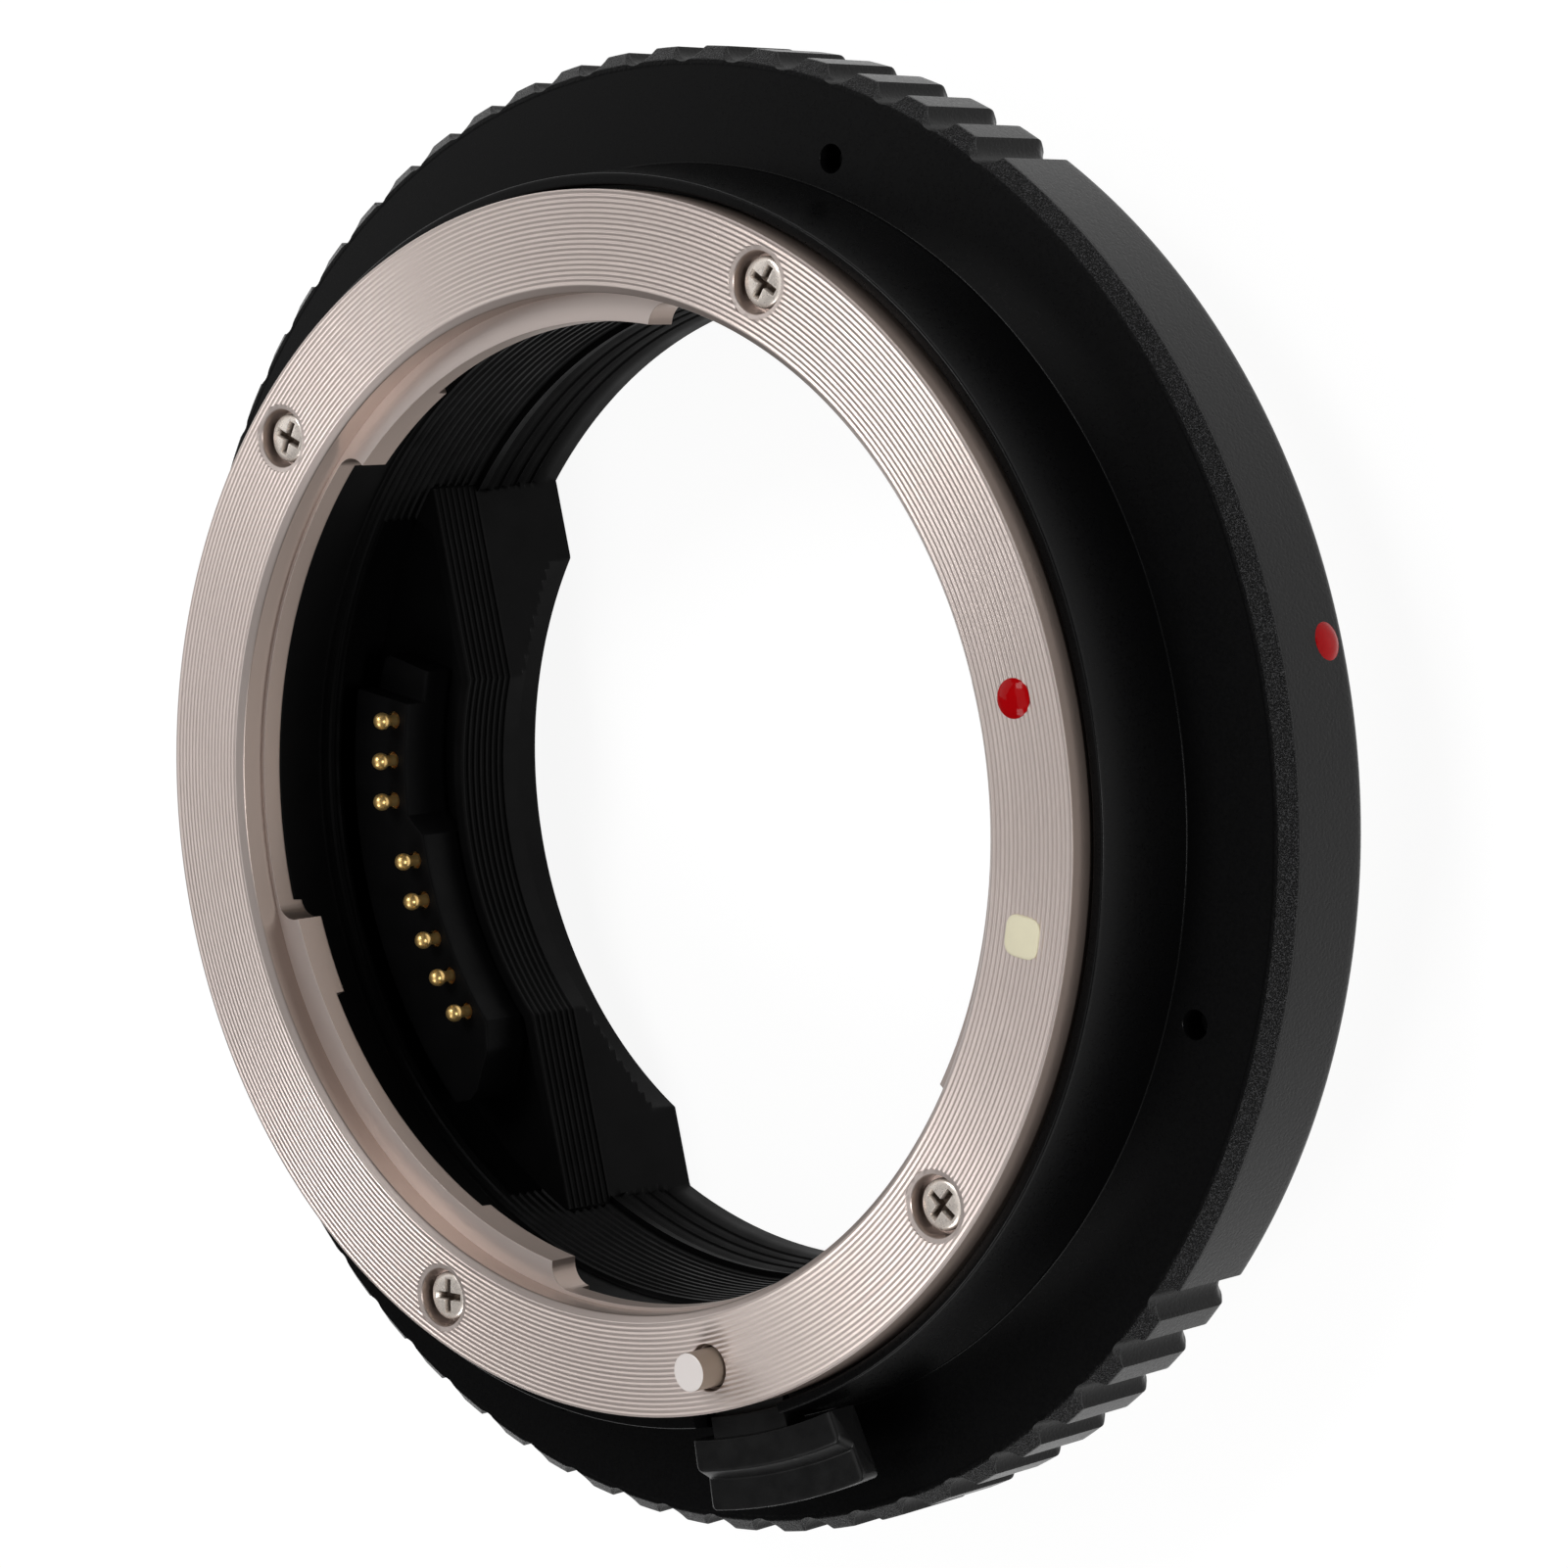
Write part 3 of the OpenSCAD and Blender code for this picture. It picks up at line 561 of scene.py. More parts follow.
# %% [markdown]
# ## The plated bayonet
# The face carries about twenty shallow grooves that the lathe tool left, and they are
# what makes its light break into rings, so they are cut into the surface and not only
# painted on. Three tabs reach into the throat; each has a thin middle and thicker pads
# at its ends. The tabs, like the flutes, are a change of the inner radius with the
# angle. The screw pockets and the hole of the lock pin are cut afterwards.

# %% Front bayonet ring
FACE_Z, SEAT_Z, RING_R, THROAT_R = 20.5, 18.1, 32.36, 27.0
TAB_TOP, TAB_THIN, TAB_THICK = 18.8, 17.6, 17.0
LEDGE_R, RUN_OUT = 26.8, 2.8
TABS = [(66, 125, 5, 17, 25.5), (181.5, 248.5, 13, 18, 25.5), (-46, 6, 6, 14, 25.9)]
GROOVE_COUNT, GROOVE_DEPTH = 18, 0.055


def face_grooves():
    """Radius and height of the turned face: rounded ridges between narrow grooves.

    The height falls by the groove depth times ((1 - cos) / 2)^1.2 of the turns counted;
    the power makes the grooves narrower than the lands between them.
    """
    inner, outer, points = 27.43, 32.26, 8
    t = np.linspace(0, GROOVE_COUNT, GROOVE_COUNT * points + 1)
    wave = ((1 - np.cos(2 * np.pi * t)) / 2) ** 1.2
    radius = outer - (outer - inner) * t / GROOVE_COUNT
    return np.stack([radius, FACE_Z - GROOVE_DEPTH * wave], axis=1)


def ring_columns():
    """Even columns, with close pairs where a tab or a pad begins or ends.

    The run-out of the cutter at a tab's end gets columns of its own, denser towards
    the steep side.
    """
    edges, curve = [], RUN_OUT * np.sin(np.linspace(0, np.pi / 2, 9))
    for start, end, pad_a, pad_b, _ in TABS:
        edges += [start + RUN_OUT, end - RUN_OUT, start + pad_a, end - pad_b]
        edges += [*(start + curve[:-1]), *(end - curve[:-1])]
    close = (np.array(edges)[:, None] + np.array([-0.06, 0.06])[None, :]).ravel()
    return np.unique(np.round(np.concatenate([np.arange(0, 360, 1.0), close % 360]), 4))


az = ring_columns()
one = np.ones_like(az)
on_tab, on_pad = np.zeros(len(az), bool), np.zeros(len(az), bool)
tab_in = LEDGE_R * one
for start, end, pad_a, pad_b, inner_r in TABS:
    along = (az - start) % 360
    span = end - start
    on_tab |= along < span
    # The cutter of the entry gap leaves a hollow quarter circle at each end of the tab:
    # radius = ledge - reach (1 - sqrt(1 - t^2)), with t running from 0 at its tip to 1.
    t = np.clip(np.minimum(along, span - along) / RUN_OUT, 0, 1)
    hollow = LEDGE_R - (LEDGE_R - inner_r) * (1 - np.sqrt(1 - t ** 2))
    tab_in = np.where(along < span, hollow, tab_in)
    on_pad |= (along < span) & ((along < pad_a) | (along > span - pad_b))
tab_top = TAB_TOP * one
tab_low = np.where(on_pad, TAB_THICK, TAB_THIN)
root = 28.4 * one
outer = same_all_round([[RING_R, SEAT_Z], [RING_R, FACE_Z]], az)
throat = np.stack([np.stack(pair, axis=1) for pair in [
    (27.36 * one, FACE_Z * one), (THROAT_R * one, 20.14 * one),
    (THROAT_R * one, tab_top), (tab_in, tab_top), (tab_in, tab_low),
    (root, tab_low), (root, SEAT_Z * one)]], axis=1)
grooves = same_all_round(face_grooves(), az)
ring_keys = np.concatenate([outer, grooves, throat], axis=1)
ring_radii = [0.05, 0.06] + [0] * grooves.shape[1] + [0.04, 0.06, 0.0, 0.03, 0.06, 0.03, 0.03]
front_ring = turned_piece("front_ring_turned", az, soften(ring_keys, ring_radii),
                          "plated_ring", "adapter")
SCREW_R, SCREW_AZ = 30.0, (52.0, 126.4, -126.4, -52.0)
pocket = [[0, 19.2], [1.6, 19.2], [1.6, 20.36], [1.64, 20.42], [1.88, 20.455], [1.92, 20.51],
          [1.92, 21.0], [0, 21.0]]
shaft = [[0, 17.5], [0.85, 17.5], [0.85, 19.4], [0, 19.4]]
tools = [cutter_of(*stack_at(SCREW_R, a, pocket)) for a in SCREW_AZ]
pin_hole = [[0, 17.5], [1.1, 17.5], [1.1, 19.9], [1.22, 20.0], [1.24, 20.44], [1.3, 20.52], [1.3, 21.0],
            [0, 21.0]]
tools.append(cutter_of(*stack_at(SCREW_R, PIN_AZ, pin_hole)))
cut(front_ring, tools)
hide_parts("front_bayonet_ring")
print("front ring", len(az), "columns,", len(front_ring.data.polygons), "faces")


# %% [markdown]
# ## Screws
# A pan head is a low dome with a rounded shoulder, turned, with a cross driven into it
# by a punch. The recess narrows as it goes down, so the cutter is a cross with tapering
# arms. Each head is turned to its own angle, as a hand leaves them.

# %% Ring screws
HEAD = [[0, 20.0], [0.5, 19.995], [0.85, 19.98], [1.1, 19.95], [1.23, 19.91], [1.3, 19.85],
        [1.33, 19.76], [1.34, 19.62], [1.34, 19.22], [0, 19.22]]


def cross_cutter(radius, azimuth, spin, top=20.3, low=19.3):
    """A cross of two arms that narrows downwards: 12 corners at the top, 12 below."""
    long_top, wide_top, long_low, wide_low = 1.08, 0.24, 0.72, 0.17

    def outline(length, width):
        """The corners of a cross, one arm after another."""
        quarter = np.array([[length, -width], [length, width], [width, width]])
        turn = [np.array([[np.cos(q), -np.sin(q)], [np.sin(q), np.cos(q)]])
                for q in np.arange(4) * np.pi / 2]
        return np.concatenate([quarter @ m.T for m in turn])

    a, s = np.radians(azimuth), np.radians(spin)
    spin_matrix = np.array([[np.cos(s), -np.sin(s)], [np.sin(s), np.cos(s)]])
    centre = radius * np.array([np.cos(a), np.sin(a)])
    rings = [(outline(long_top, wide_top), top), (outline(long_low, wide_low), low)]
    points = np.concatenate([np.column_stack([o @ spin_matrix.T + centre, np.full(12, z)])
                             for o, z in rings])
    faces = [[i, (i + 1) % 12, 12 + (i + 1) % 12, 12 + i] for i in range(12)]
    return points, faces + [list(range(11, -1, -1)), list(range(12, 24))]


def general_cutter(points, faces):
    """A cutter whose faces have different numbers of corners."""
    mesh = bpy.data.meshes.new("cutter")
    mesh.from_pydata((np.asarray(points) * MM).tolist(), [], faces)
    work = bmesh.new()
    work.from_mesh(mesh)
    bmesh.ops.recalc_face_normals(work, faces=work.faces)
    work.to_mesh(mesh)
    work.free()
    tool = bpy.data.objects.new("cutter", mesh)
    scene.collection.objects.link(tool)
    return tool


for number, (azimuth, spin) in enumerate(zip(SCREW_AZ, (43.0, 52.0, 76.0, 38.0)), 1):
    outline = HEAD[:-1] + [[0.78, 19.22], [0.78, 15.4], [0.5, 15.0], [0, 15.0]]
    piece = make_piece(f"ring_screw_head_{number}", *stack_at(SCREW_R, azimuth, outline, 48),
                       "screw_metal", "adapter")
    cut(piece, [general_cutter(*cross_cutter(SCREW_R, azimuth, spin))])
    break_edges(piece, 0.035)
    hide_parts(f"ring_screw_{number}")
print("4 ring screws")


# %% [markdown]
# ## Marks and lock pin
# The round marks are drops of enamel that stand a little proud, so a low dome with a
# glossy finish is all they need. The square one is flatter and has rounded corners: a
# superellipse gives both. The pin is turned, with a small chamfer.

# %% Marks and pin
def dome_outline(radius, z, rise, down):
    """A cap of a sphere on a short cylinder; height falls with the square of radius."""
    u = np.linspace(0, 1, 9)
    cap = [[radius * t, z + rise * (1 - t ** 2.6)] for t in u]
    return cap + [[radius, z - down], [0, z - down]]


MARK_R = 29.6
dot = make_piece("ring_red_dot", *stack_at(MARK_R, 0.0, dome_outline(1.0, 20.5, 0.25, 0.4)),
                 "red_mark", "adapter", smooth=50)
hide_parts("ring_index_dot")

points, faces = stack_at(0.0, 0.0, dome_outline(1.0, 0.0, 0.25, 0.35))
points = np.column_stack([points[:, 2] + BAND_R - 0.03, points[:, 1], points[:, 0] + 8.5])
dot = make_piece("band_red_dot", points, faces, "red_mark", "adapter", smooth=50)
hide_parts("band_index_dot")

theta = np.linspace(0, 2 * np.pi, 72, endpoint=False)
SQUARE_HALF, SQUARE_AZ = 1.05, -22.7
corner = (np.abs(np.cos(theta)) ** 3.4 + np.abs(np.sin(theta)) ** 3.4) ** (-1 / 3.4)
levels = [(0.0, 20.63), (0.5, 20.627), (0.85, 20.61), (0.95, 20.585), (1.0, 20.54), (1.0, 20.3), (0.0, 20.3)]
a = np.radians(SQUARE_AZ)
rings = []
for share, z in levels:
    x = share * SQUARE_HALF * corner * np.cos(theta)
    y = share * SQUARE_HALF * corner * np.sin(theta)
    rings.append(np.stack([x * np.cos(a) - y * np.sin(a) + MARK_R * np.cos(a),
                           x * np.sin(a) + y * np.cos(a) + MARK_R * np.sin(a),
                           np.full_like(x, z)], axis=-1))
points = np.stack(rings, axis=1)
square = make_piece("ring_cream_square", points.reshape(-1, 3), grid_faces(72, len(levels)),
                    "cream_mark", "adapter", smooth=50)
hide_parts("ring_square_mark")

pin_box = np.array(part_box("lock_pin")) / MM
low, high = pin_box[0][2], pin_box[1][2]
pin = make_piece("lock_pin_turned",
                 *stack_at(SCREW_R, PIN_AZ, [[0, low], [1.03, low], [1.03, high - 0.1],
                                             [1.015, high - 0.04], [0.96, high], [0.9, high],
                                             [0, high]]),
                 "pin_metal", "release")
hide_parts("lock_pin")
print("marks and pin", round(low, 2), round(high, 2))


# %% [markdown]
# ## Release lever
# The lever is one stepped plate bent round the collar, with a neck that goes through
# the notch to the pin. A stepped profile carried along a short arc makes the plate, and
# the last columns draw in, so that its corners are rounded in plan too.

# %% Lever
def arc_piece_columns(start, end, round_deg, steps=6, middle=24):
    """Angles along an arc, and for each the share of the corner rounding, 0 to 1.

    The corner follows a quarter circle: share = 1 - sqrt(1 - (1-t)^2).
    """
    t = np.linspace(0, 1, steps + 1)
    share = 1 - np.sqrt(np.maximum(1 - (1 - t) ** 2, 0))
    head = start + round_deg * t
    tail = end - round_deg * t[::-1]
    body = np.linspace(start + round_deg, end - round_deg, middle)[1:-1]
    angles = np.concatenate([head, body, tail])
    shares = np.concatenate([share, np.zeros(len(body)), share[::-1]])
    return angles, shares


def closed_ends(azimuth, profile):
    """Adds a first and a last column drawn together to their middle, to close the ends."""
    first = np.repeat(profile[:1].mean(axis=1, keepdims=True), profile.shape[1], axis=1)
    last = np.repeat(profile[-1:].mean(axis=1, keepdims=True), profile.shape[1], axis=1)
    return (np.concatenate([azimuth[:1], azimuth, azimuth[-1:]]),
            np.concatenate([first, profile, last]))


az, share = arc_piece_columns(-95.0, -78.0, 0.6)
one = np.ones_like(az)
draw = 0.35 * share
lever_keys = np.stack([np.stack(pair, axis=1) for pair in [
    (33.95 * one, 16.4 + 0.5 * draw), (37.85 - draw, 16.4 + 0.5 * draw),
    (37.85 - draw, 17.7 - 0.5 * draw), (36.15 - draw, 17.7 - 0.5 * draw),
    (35.6 - draw, 18.5 - 0.5 * draw), (33.95 * one, 18.5 - 0.5 * draw)]], axis=1)
lever_profile = soften(lever_keys, [0.05, 0.1, 0.12, 0.08, 0.14, 0.05])
plate_az, plate_profile = closed_ends(az, lever_profile)
plate = turned_piece("lever_plate", plate_az, plate_profile, "black_release", "release", ring=False)
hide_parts("release_lever")

az, share = arc_piece_columns(-92.5, -83.5, 0.25)
neck_keys = same_all_round([[29.2, 16.85], [34.1, 16.85], [34.1, 18.35], [32.75, 18.35],
                            [32.75, 18.05], [29.2, 18.05]], az)
neck_az, neck_profile = closed_ends(az, soften(neck_keys, [0.05, 0.05, 0.1, 0.1, 0.03, 0.05]))
neck = turned_piece("lever_neck", neck_az, neck_profile, "black_release", "release", ring=False)
print("lever", len(plate.data.polygons), "and neck", len(neck.data.polygons), "faces")


# %% [markdown]
# ## The light trap
# Inside, two black mouldings keep stray light off the sensor with fine ridges. On the
# contact side the wall comes inwards: two flat flanks and an arc between them. In polar
# form that outline is a single rule, the larger of the arc and the flank, and never
# more than the round wall, so the same grid covers the whole moulding. Rows that a
# region doesn't need are laid on top of each other and welded.

# %% Housing outline
def housing_edge(azimuth, arc_r, flat_x, round_r):
    """Inner radius at each angle on the contact side.

    r = min(round, max(arc, flat / |cos azimuth|)) where the cosine is negative,
    and the round wall elsewhere.
    """
    c = np.cos(np.radians(azimuth))
    reach = np.where(c < -1e-3, flat_x / np.maximum(np.abs(c), 1e-3), 1e3)
    return np.minimum(round_r, np.maximum(arc_r, reach))


def trap_columns():
    """Columns every 1.5 degrees, finer on the contact side and at each corner of it."""
    marks = np.array([130.3, 134.7, 153.4, 206.6, 225.3, 229.7])
    close = (marks[:, None] + np.array([-0.3, -0.03, 0.03, 0.3])[None, :]).ravel()
    return np.unique(np.round(np.concatenate([
        np.arange(0, 125, 1.5), np.arange(125, 235.1, 0.3), np.arange(236, 360, 1.5), close]), 4))


def groove_rows(z_high, z_low, pitch, depth, share=0.55):
    """Height and depth of saw-tooth grooves from a high to a low edge."""
    count = int((z_high - z_low) / pitch)
    rows = []
    for i in range(count):
        z = z_high - i * pitch
        rows += [(z, 0.0), (z - pitch * 0.12, depth), (z - pitch * share, depth * 0.6),
                 (z - pitch * (share + 0.15), 0.0)]
    return rows


# %% Inner sleeve
az = trap_columns()
one = np.ones_like(az)
in_pocket = (az > 134.7) & (az < 225.3)
ROUND_R = 27.3
inner_edge = housing_edge(az, 20.0, 17.5, ROUND_R)
rim_edge = housing_edge(az, 20.72, 18.25, ROUND_R)
in_housing = inner_edge < ROUND_R - 0.01
wall_stop = np.where(in_pocket, 12.4, np.where(in_housing, 9.8, 6.3))
floor_edge = np.where(in_pocket, 28.0, ROUND_R)
keys = [(28.97 * one, 6.3 * one), (28.97 * one, 16.85 * one), (27.6 * one, 16.85 * one),
        (27.6 * one, 13.7 * one), (ROUND_R * one, 13.62 * one)]
for z, depth in groove_rows(13.35, 6.35, 0.6, 0.2):
    low = z < wall_stop + 0.02
    keys.append((np.where(low, ROUND_R, ROUND_R + depth), np.maximum(z * one, wall_stop)))
pocket_floor = np.where(in_pocket, 9.0, wall_stop)
rim_top = np.where(in_housing, 9.8, 6.3)
keys += [(ROUND_R * one, wall_stop), (floor_edge, wall_stop),
         (floor_edge, pocket_floor), (np.where(in_pocket, rim_edge, floor_edge), pocket_floor),
         (np.where(in_pocket, rim_edge, floor_edge), rim_top), (inner_edge, rim_top)]
soft_from = len(keys) - 1
for z, depth in groove_rows(9.62, 6.3, 0.47, 0.16):
    keys.append((np.where(in_housing, inner_edge + depth, ROUND_R), np.where(in_housing, z, 6.3)))
keys.append((inner_edge, 6.3 * one))
sleeve_keys = np.stack([np.stack(pair, axis=1) for pair in keys], axis=1)
sleeve_radii = [0.0] * len(keys)
for i in (2, 3, soft_from, soft_from - 1):
    sleeve_radii[i] = 0.08
sleeve = turned_piece("inner_sleeve_moulded", az, soften(sleeve_keys, sleeve_radii, 2),
                      "black_moulding", "adapter", smooth=28)
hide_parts("inner_sleeve")
print("sleeve", len(az), "columns,", len(sleeve.data.polygons), "faces")


# %% [markdown]
# ## The rear moulding
# Towards the camera the housing opens again: below 5.5 mm its arc widens at 45 degrees
# in fine steps to a plain lip. Where the steps run out on the flat flanks they leave
# the toothed line that shows in the photograph. Height decides the arc here, so the
# inner wall is a plain height-by-angle grid.

# %% Rear baffle
def cone_arc(z):
    """Arc radius of the housing by height: 20 above, stepped cone, then the lip."""
    step = 0.4
    down = np.clip(5.5 - z, 0, 3.6)
    stairs = np.floor(down / step + 1e-6) * step + step * 0.35 * (down % step > step * 0.3)
    return np.where(z > 5.5, 20.0, np.where(z < 1.9, 23.6, 20.0 + np.minimum(stairs, 3.6)))


az = trap_columns()
one = np.ones_like(az)
heights = [6.3, 6.0, 5.6, 5.5]
for i in range(9):
    top = 5.5 - 0.4 * i
    heights += [top - 0.005, top - 0.12, top - 0.125, top - 0.395]
heights += [1.85, 1.5, 1.0, 0.35, 0.15]
heights = np.array(heights)
groove_shape = np.interp(-heights, -np.array([z for z, _ in groove_rows(6.25, 1.0, 0.6, 0.2)]),
                         [d for _, d in groove_rows(6.25, 1.0, 0.6, 0.2)])
keys = [(28.28 * one, 0.15 * one), (28.28 * one, 5.0 * one), (28.97 * one, 5.0 * one),
        (28.97 * one, 6.3 * one)]
for z, depth in zip(heights, groove_shape):
    edge = housing_edge(az, float(cone_arc(np.array(z))), 17.05 + 0.075 * z, 27.0)
    keys.append((np.where(edge > 26.99, 27.0 + depth * (z > 1.0), edge), z * one))
baffle_keys = np.stack([np.stack(pair, axis=1) for pair in keys], axis=1)
baffle = turned_piece("rear_baffle_moulded", az, baffle_keys, "black_moulding", "adapter", smooth=28)
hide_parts("rear_baffle")
print("baffle", len(az), "columns,", len(baffle.data.polygons), "faces")


# %% [markdown]
# ## Contacts
# The block is a raised step behind the rim with eight small barrels. In each barrel a
# gold plunger stands on its spring: a neck and a round tip. The block's inner edge
# changes with the angle, because the three upper contacts stand further out.

# %% Contact block
BLOCK_TOP, BLOCK_LOW, BLOCK_BASE = 12.3, 11.0, 9.0
az = np.unique(np.concatenate([np.linspace(151.3, 156.0, 8), [156.03], np.linspace(156.1, 172.6, 20),
                               np.linspace(172.6, 175.8, 6), np.linspace(175.8, 207.0, 36),
                               np.linspace(207.0, 213.0, 14)]))
inner = np.interp(az, [151.3, 156.0, 172.6, 175.8, 207.0, 210.5, 213.0],
                  [22.2, 22.15, 22.05, 21.0, 21.0, 22.1, 24.4])
outer_edge = np.interp(az, [151.3, 152.0, 156.0, 156.03, 211.5, 213.0],
                       [25.4, 25.8, 25.9, 26.3, 26.3, 25.3])
top = np.where(az < 156.01, BLOCK_LOW, BLOCK_TOP)
one = np.ones_like(az)
block_keys = np.stack([np.stack(pair, axis=1) for pair in [
    (inner, BLOCK_BASE * one), (inner, top), (outer_edge, top), (outer_edge, BLOCK_BASE * one)]], axis=1)
block_az, block_profile = closed_ends(az, soften(block_keys, [0, 0.14, 0.14, 0]))
block = turned_piece("contact_block_moulded", block_az, block_profile, "contact_moulding",
                     "adapter", ring=False)
LOW_R, HIGH_R, CONTACT_PITCH = 22.0, 23.15, 2.32
contact_places = [(HIGH_R, 164.6 + k * np.degrees(CONTACT_PITCH / HIGH_R)) for k in (-1, 0, 1)]
contact_places += [(LOW_R, 191.4 + k * np.degrees(CONTACT_PITCH / LOW_R)) for k in (-2, -1, 0, 1, 2)]
bores = [cutter_of(*stack_at(r, a, [[0, 9.6], [0.5, 9.6], [0.5, 12.6], [0, 12.6]], 24))
         for r, a in contact_places]
cut(block, bores)
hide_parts("contact_block")

barrel_outline = [[0.47, 11.4], [0.56, 11.4], [0.56, 12.0], [0.54, 12.05], [0.47, 12.05]]
BALL_R = 0.49
tip = [[BALL_R * np.cos(t), 13.7 - BALL_R + BALL_R * np.sin(t)]
       for t in np.linspace(-0.75, np.pi / 2, 11)]
plunger_outline = ([[0.0, 10.6], [0.45, 10.6], [0.45, 11.5], [0.36, 11.9], [0.31, 12.3],
                    [0.29, 12.6]] + tip[:-1] + [[0.0, 13.7]])
for number, (r, a) in enumerate(contact_places, 1):
    barrel = make_piece(f"contact_barrel_{number}", *stack_at(r, a, barrel_outline, 32),
                        "contact_gold", "adapter", smooth=50)
    plunger = make_piece(f"contact_plunger_{number}", *stack_at(r, a, plunger_outline, 32),
                         "contact_gold", f"contact_{number}_plunger", smooth=50)
    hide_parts(f"contact_{number}")
print("8 contacts at", [(round(float(r), 1), round(float(a), 1)) for r, a in contact_places])


# %% [markdown]
# ## The camera end
# The rear bayonet is never seen in the photograph, but the part is seen from all sides
# here: a plated flange, a tube and four lugs that turn behind the camera's own tabs.

# %% Rear bayonet ring
LUG_SPAN = 42.0
lug_centres = np.array([45.0, 135.0, 225.0, 315.0])
az = np.unique(np.round(np.concatenate([
    np.arange(0, 360, 1.5),
    ((lug_centres[:, None] + np.array([-1, 1])[None, :] * LUG_SPAN / 2).ravel()[:, None]
     + np.array([-0.3, -0.06, 0.06, 0.3])[None, :]).ravel() % 360]), 4))
one = np.ones_like(az)
on_lug = (np.abs((az[:, None] - lug_centres[None, :] + 180) % 360 - 180) < LUG_SPAN / 2).any(axis=1)
lug_r = np.where(on_lug, 32.4, 30.3)
rear_keys = np.stack([np.stack(pair, axis=1) for pair in [
    (28.3 * one, 0.0 * one), (30.3 * one, 0.0 * one), (30.3 * one, 0.5 * one), (lug_r, 0.5 * one),
    (lug_r, 2.0 * one), (30.3 * one, 2.0 * one), (30.3 * one, 3.2 * one), (36.4 * one, 3.2 * one),
    (36.4 * one, 5.0 * one), (28.3 * one, 5.0 * one)]], axis=1)
rear_ring = turned_piece("rear_ring_turned", az,
                         soften(rear_keys, [0.15, 0.12, 0.04, 0.15, 0.12, 0.05, 0.12, 0.15, 0.05, 0.05]),
                         "rear_plated_ring", "adapter")
REAR_SCREW_R, REAR_SCREW_AZ = 34.3, (20.0, 110.0, 200.0, 290.0)
sunk = [[0, 3.0], [1.36, 3.0], [1.36, 3.19], [0.75, 3.84], [0.75, 5.3], [0, 5.3]]
slot = [[0, 3.0], [1.3, 3.0], [1.3, 3.15], [1.2, 3.25], [1.2, 4.4], [0, 4.4]]
cut(rear_ring, [cutter_of(*stack_at(REAR_SCREW_R, a, sunk)) for a in REAR_SCREW_AZ]
    + [cutter_of(*stack_at(REAR_SCREW_R, -90.0, slot))])
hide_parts("rear_bayonet_ring")
print("rear ring", len(rear_ring.data.polygons), "faces")


# %% Dress the CAD nodes that stay
kept = {"rear_contact_pads": "contact_gold"}
kept.update({f"rear_screw_{i}": "screw_metal" for i in range(1, 5)})
for node_name, finish in kept.items():
    node_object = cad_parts[node_name]
    node_object.data.materials.clear()
    node_object.data.materials.append(finishes[finish])
print("dressed", sorted(kept))


# %% [markdown]
# ## Studio
# The photograph has a pure white ground. The floor is a pale plane that a direct look
# sees as nearly white by its own colour, with enough plain diffuse left to hold the
# shadow. Two tall soft boxes stand behind the object, where their light glances off the
# band, and a wide one in front fills the face.

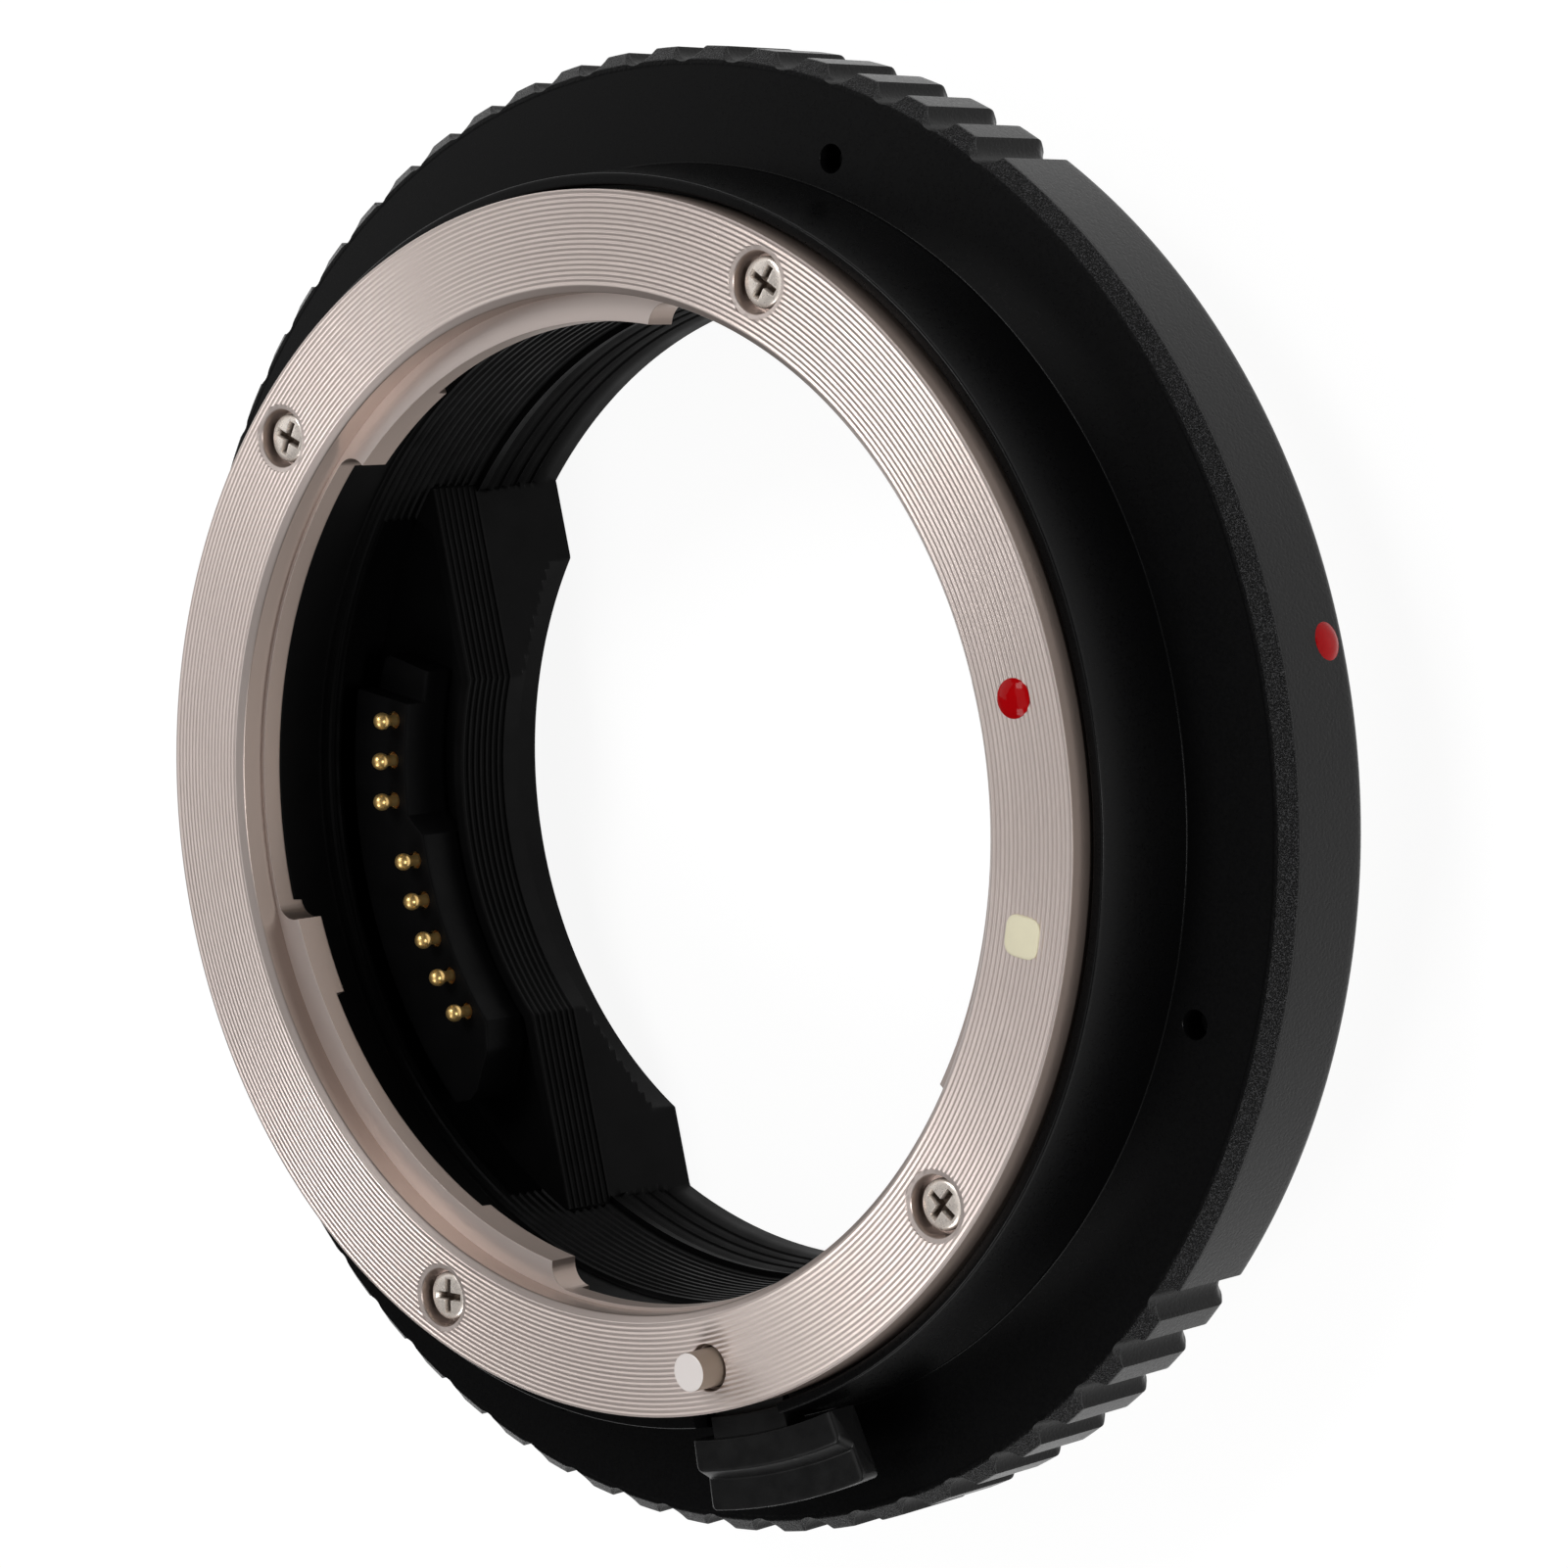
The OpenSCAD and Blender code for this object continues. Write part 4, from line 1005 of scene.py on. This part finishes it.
# %% Floor and world
def soft_floor():
    """Pale floor: its own colour to the eye and in reflections, diffuse to the lamps."""
    material = bpy.data.materials.new("studio_floor")
    material.use_nodes = True
    tree = material.node_tree
    tree.nodes.clear()
    out = tree.nodes.new("ShaderNodeOutputMaterial")
    plain = tree.nodes.new("ShaderNodeBsdfDiffuse")
    plain.inputs["Color"].default_value = (0.8, 0.8, 0.8, 1)
    faint = tree.nodes.new("ShaderNodeBsdfDiffuse")
    faint.inputs["Color"].default_value = (0.16, 0.16, 0.16, 1)
    glow = tree.nodes.new("ShaderNodeEmission")
    glow.inputs["Strength"].default_value = 0.92
    both = tree.nodes.new("ShaderNodeAddShader")
    tree.links.new(faint.outputs[0], both.inputs[0])
    tree.links.new(glow.outputs[0], both.inputs[1])
    rays = tree.nodes.new("ShaderNodeLightPath")
    seen = sum_of(tree, "MAXIMUM", rays.outputs["Is Camera Ray"],
                  sum_of(tree, "MAXIMUM", rays.outputs["Is Glossy Ray"],
                         rays.outputs["Is Transmission Ray"]))
    mix = tree.nodes.new("ShaderNodeMixShader")
    tree.links.new(seen, mix.inputs[0])
    tree.links.new(plain.outputs[0], mix.inputs[1])
    tree.links.new(both.outputs[0], mix.inputs[2])
    tree.links.new(mix.outputs[0], out.inputs[0])
    return material


size = 3.0
floor_mesh = bpy.data.meshes.new("studio_floor")
floor_mesh.from_pydata([(-size, -size, -2e-5), (size, -size, -2e-5), (size, size, -2e-5),
                        (-size, size, -2e-5)], [], [(0, 1, 2, 3)])
floor_mesh.materials.append(soft_floor())
floor = bpy.data.objects.new("studio_floor", floor_mesh)
scene.collection.objects.link(floor)

world = bpy.data.worlds.new("studio_world")
world.use_nodes = True
scene.world = world
sky = world.node_tree.nodes["Background"]
sky.inputs["Color"].default_value = (1, 1, 1, 1)
sky.inputs["Strength"].default_value = 0.06


# %% Lamps
def soft_box(name, place_mm, target_mm, width, height, watts):
    """A rectangular lamp that looks from its place to a target."""
    lamp_data = bpy.data.lights.new(name, "AREA")
    lamp_data.shape = "RECTANGLE"
    lamp_data.size, lamp_data.size_y = width, height
    lamp_data.energy = watts
    lamp = bpy.data.objects.new(name, lamp_data)
    back = np.asarray(place_mm, float) - np.asarray(target_mm, float)
    back /= np.linalg.norm(back)
    side = np.cross([0, 1.0, 0] if abs(back[2]) > 0.99 else [0, 0, 1.0], back)
    side /= np.linalg.norm(side)
    up = np.cross(back, side)
    matrix = np.eye(4)
    matrix[:3, :3] = np.column_stack([side, up, back])
    matrix[:3, 3] = np.asarray(place_mm, float) * MM
    lamp.matrix_world = Matrix(matrix.tolist())
    scene.collection.objects.link(lamp)
    return lamp


soft_box("key_above", (-30, 400, 600), (0, 0, 10), 0.24, 0.24, 1.5)
soft_box("front_above", (-190, -385, 490), (0, 0, 10), 0.22, 0.22, 0.95)
soft_box("camera_side", (600, -180, 170), (0, 0, 10), 0.2, 0.2, 1.3)
soft_box("overhead", (-20, 30, 650), (-20, 30, 0), 0.4, 0.8, 0.75)
soft_box("back_left", (-490, 320, 300), (0, 0, 10), 0.5, 0.5, 0.6)
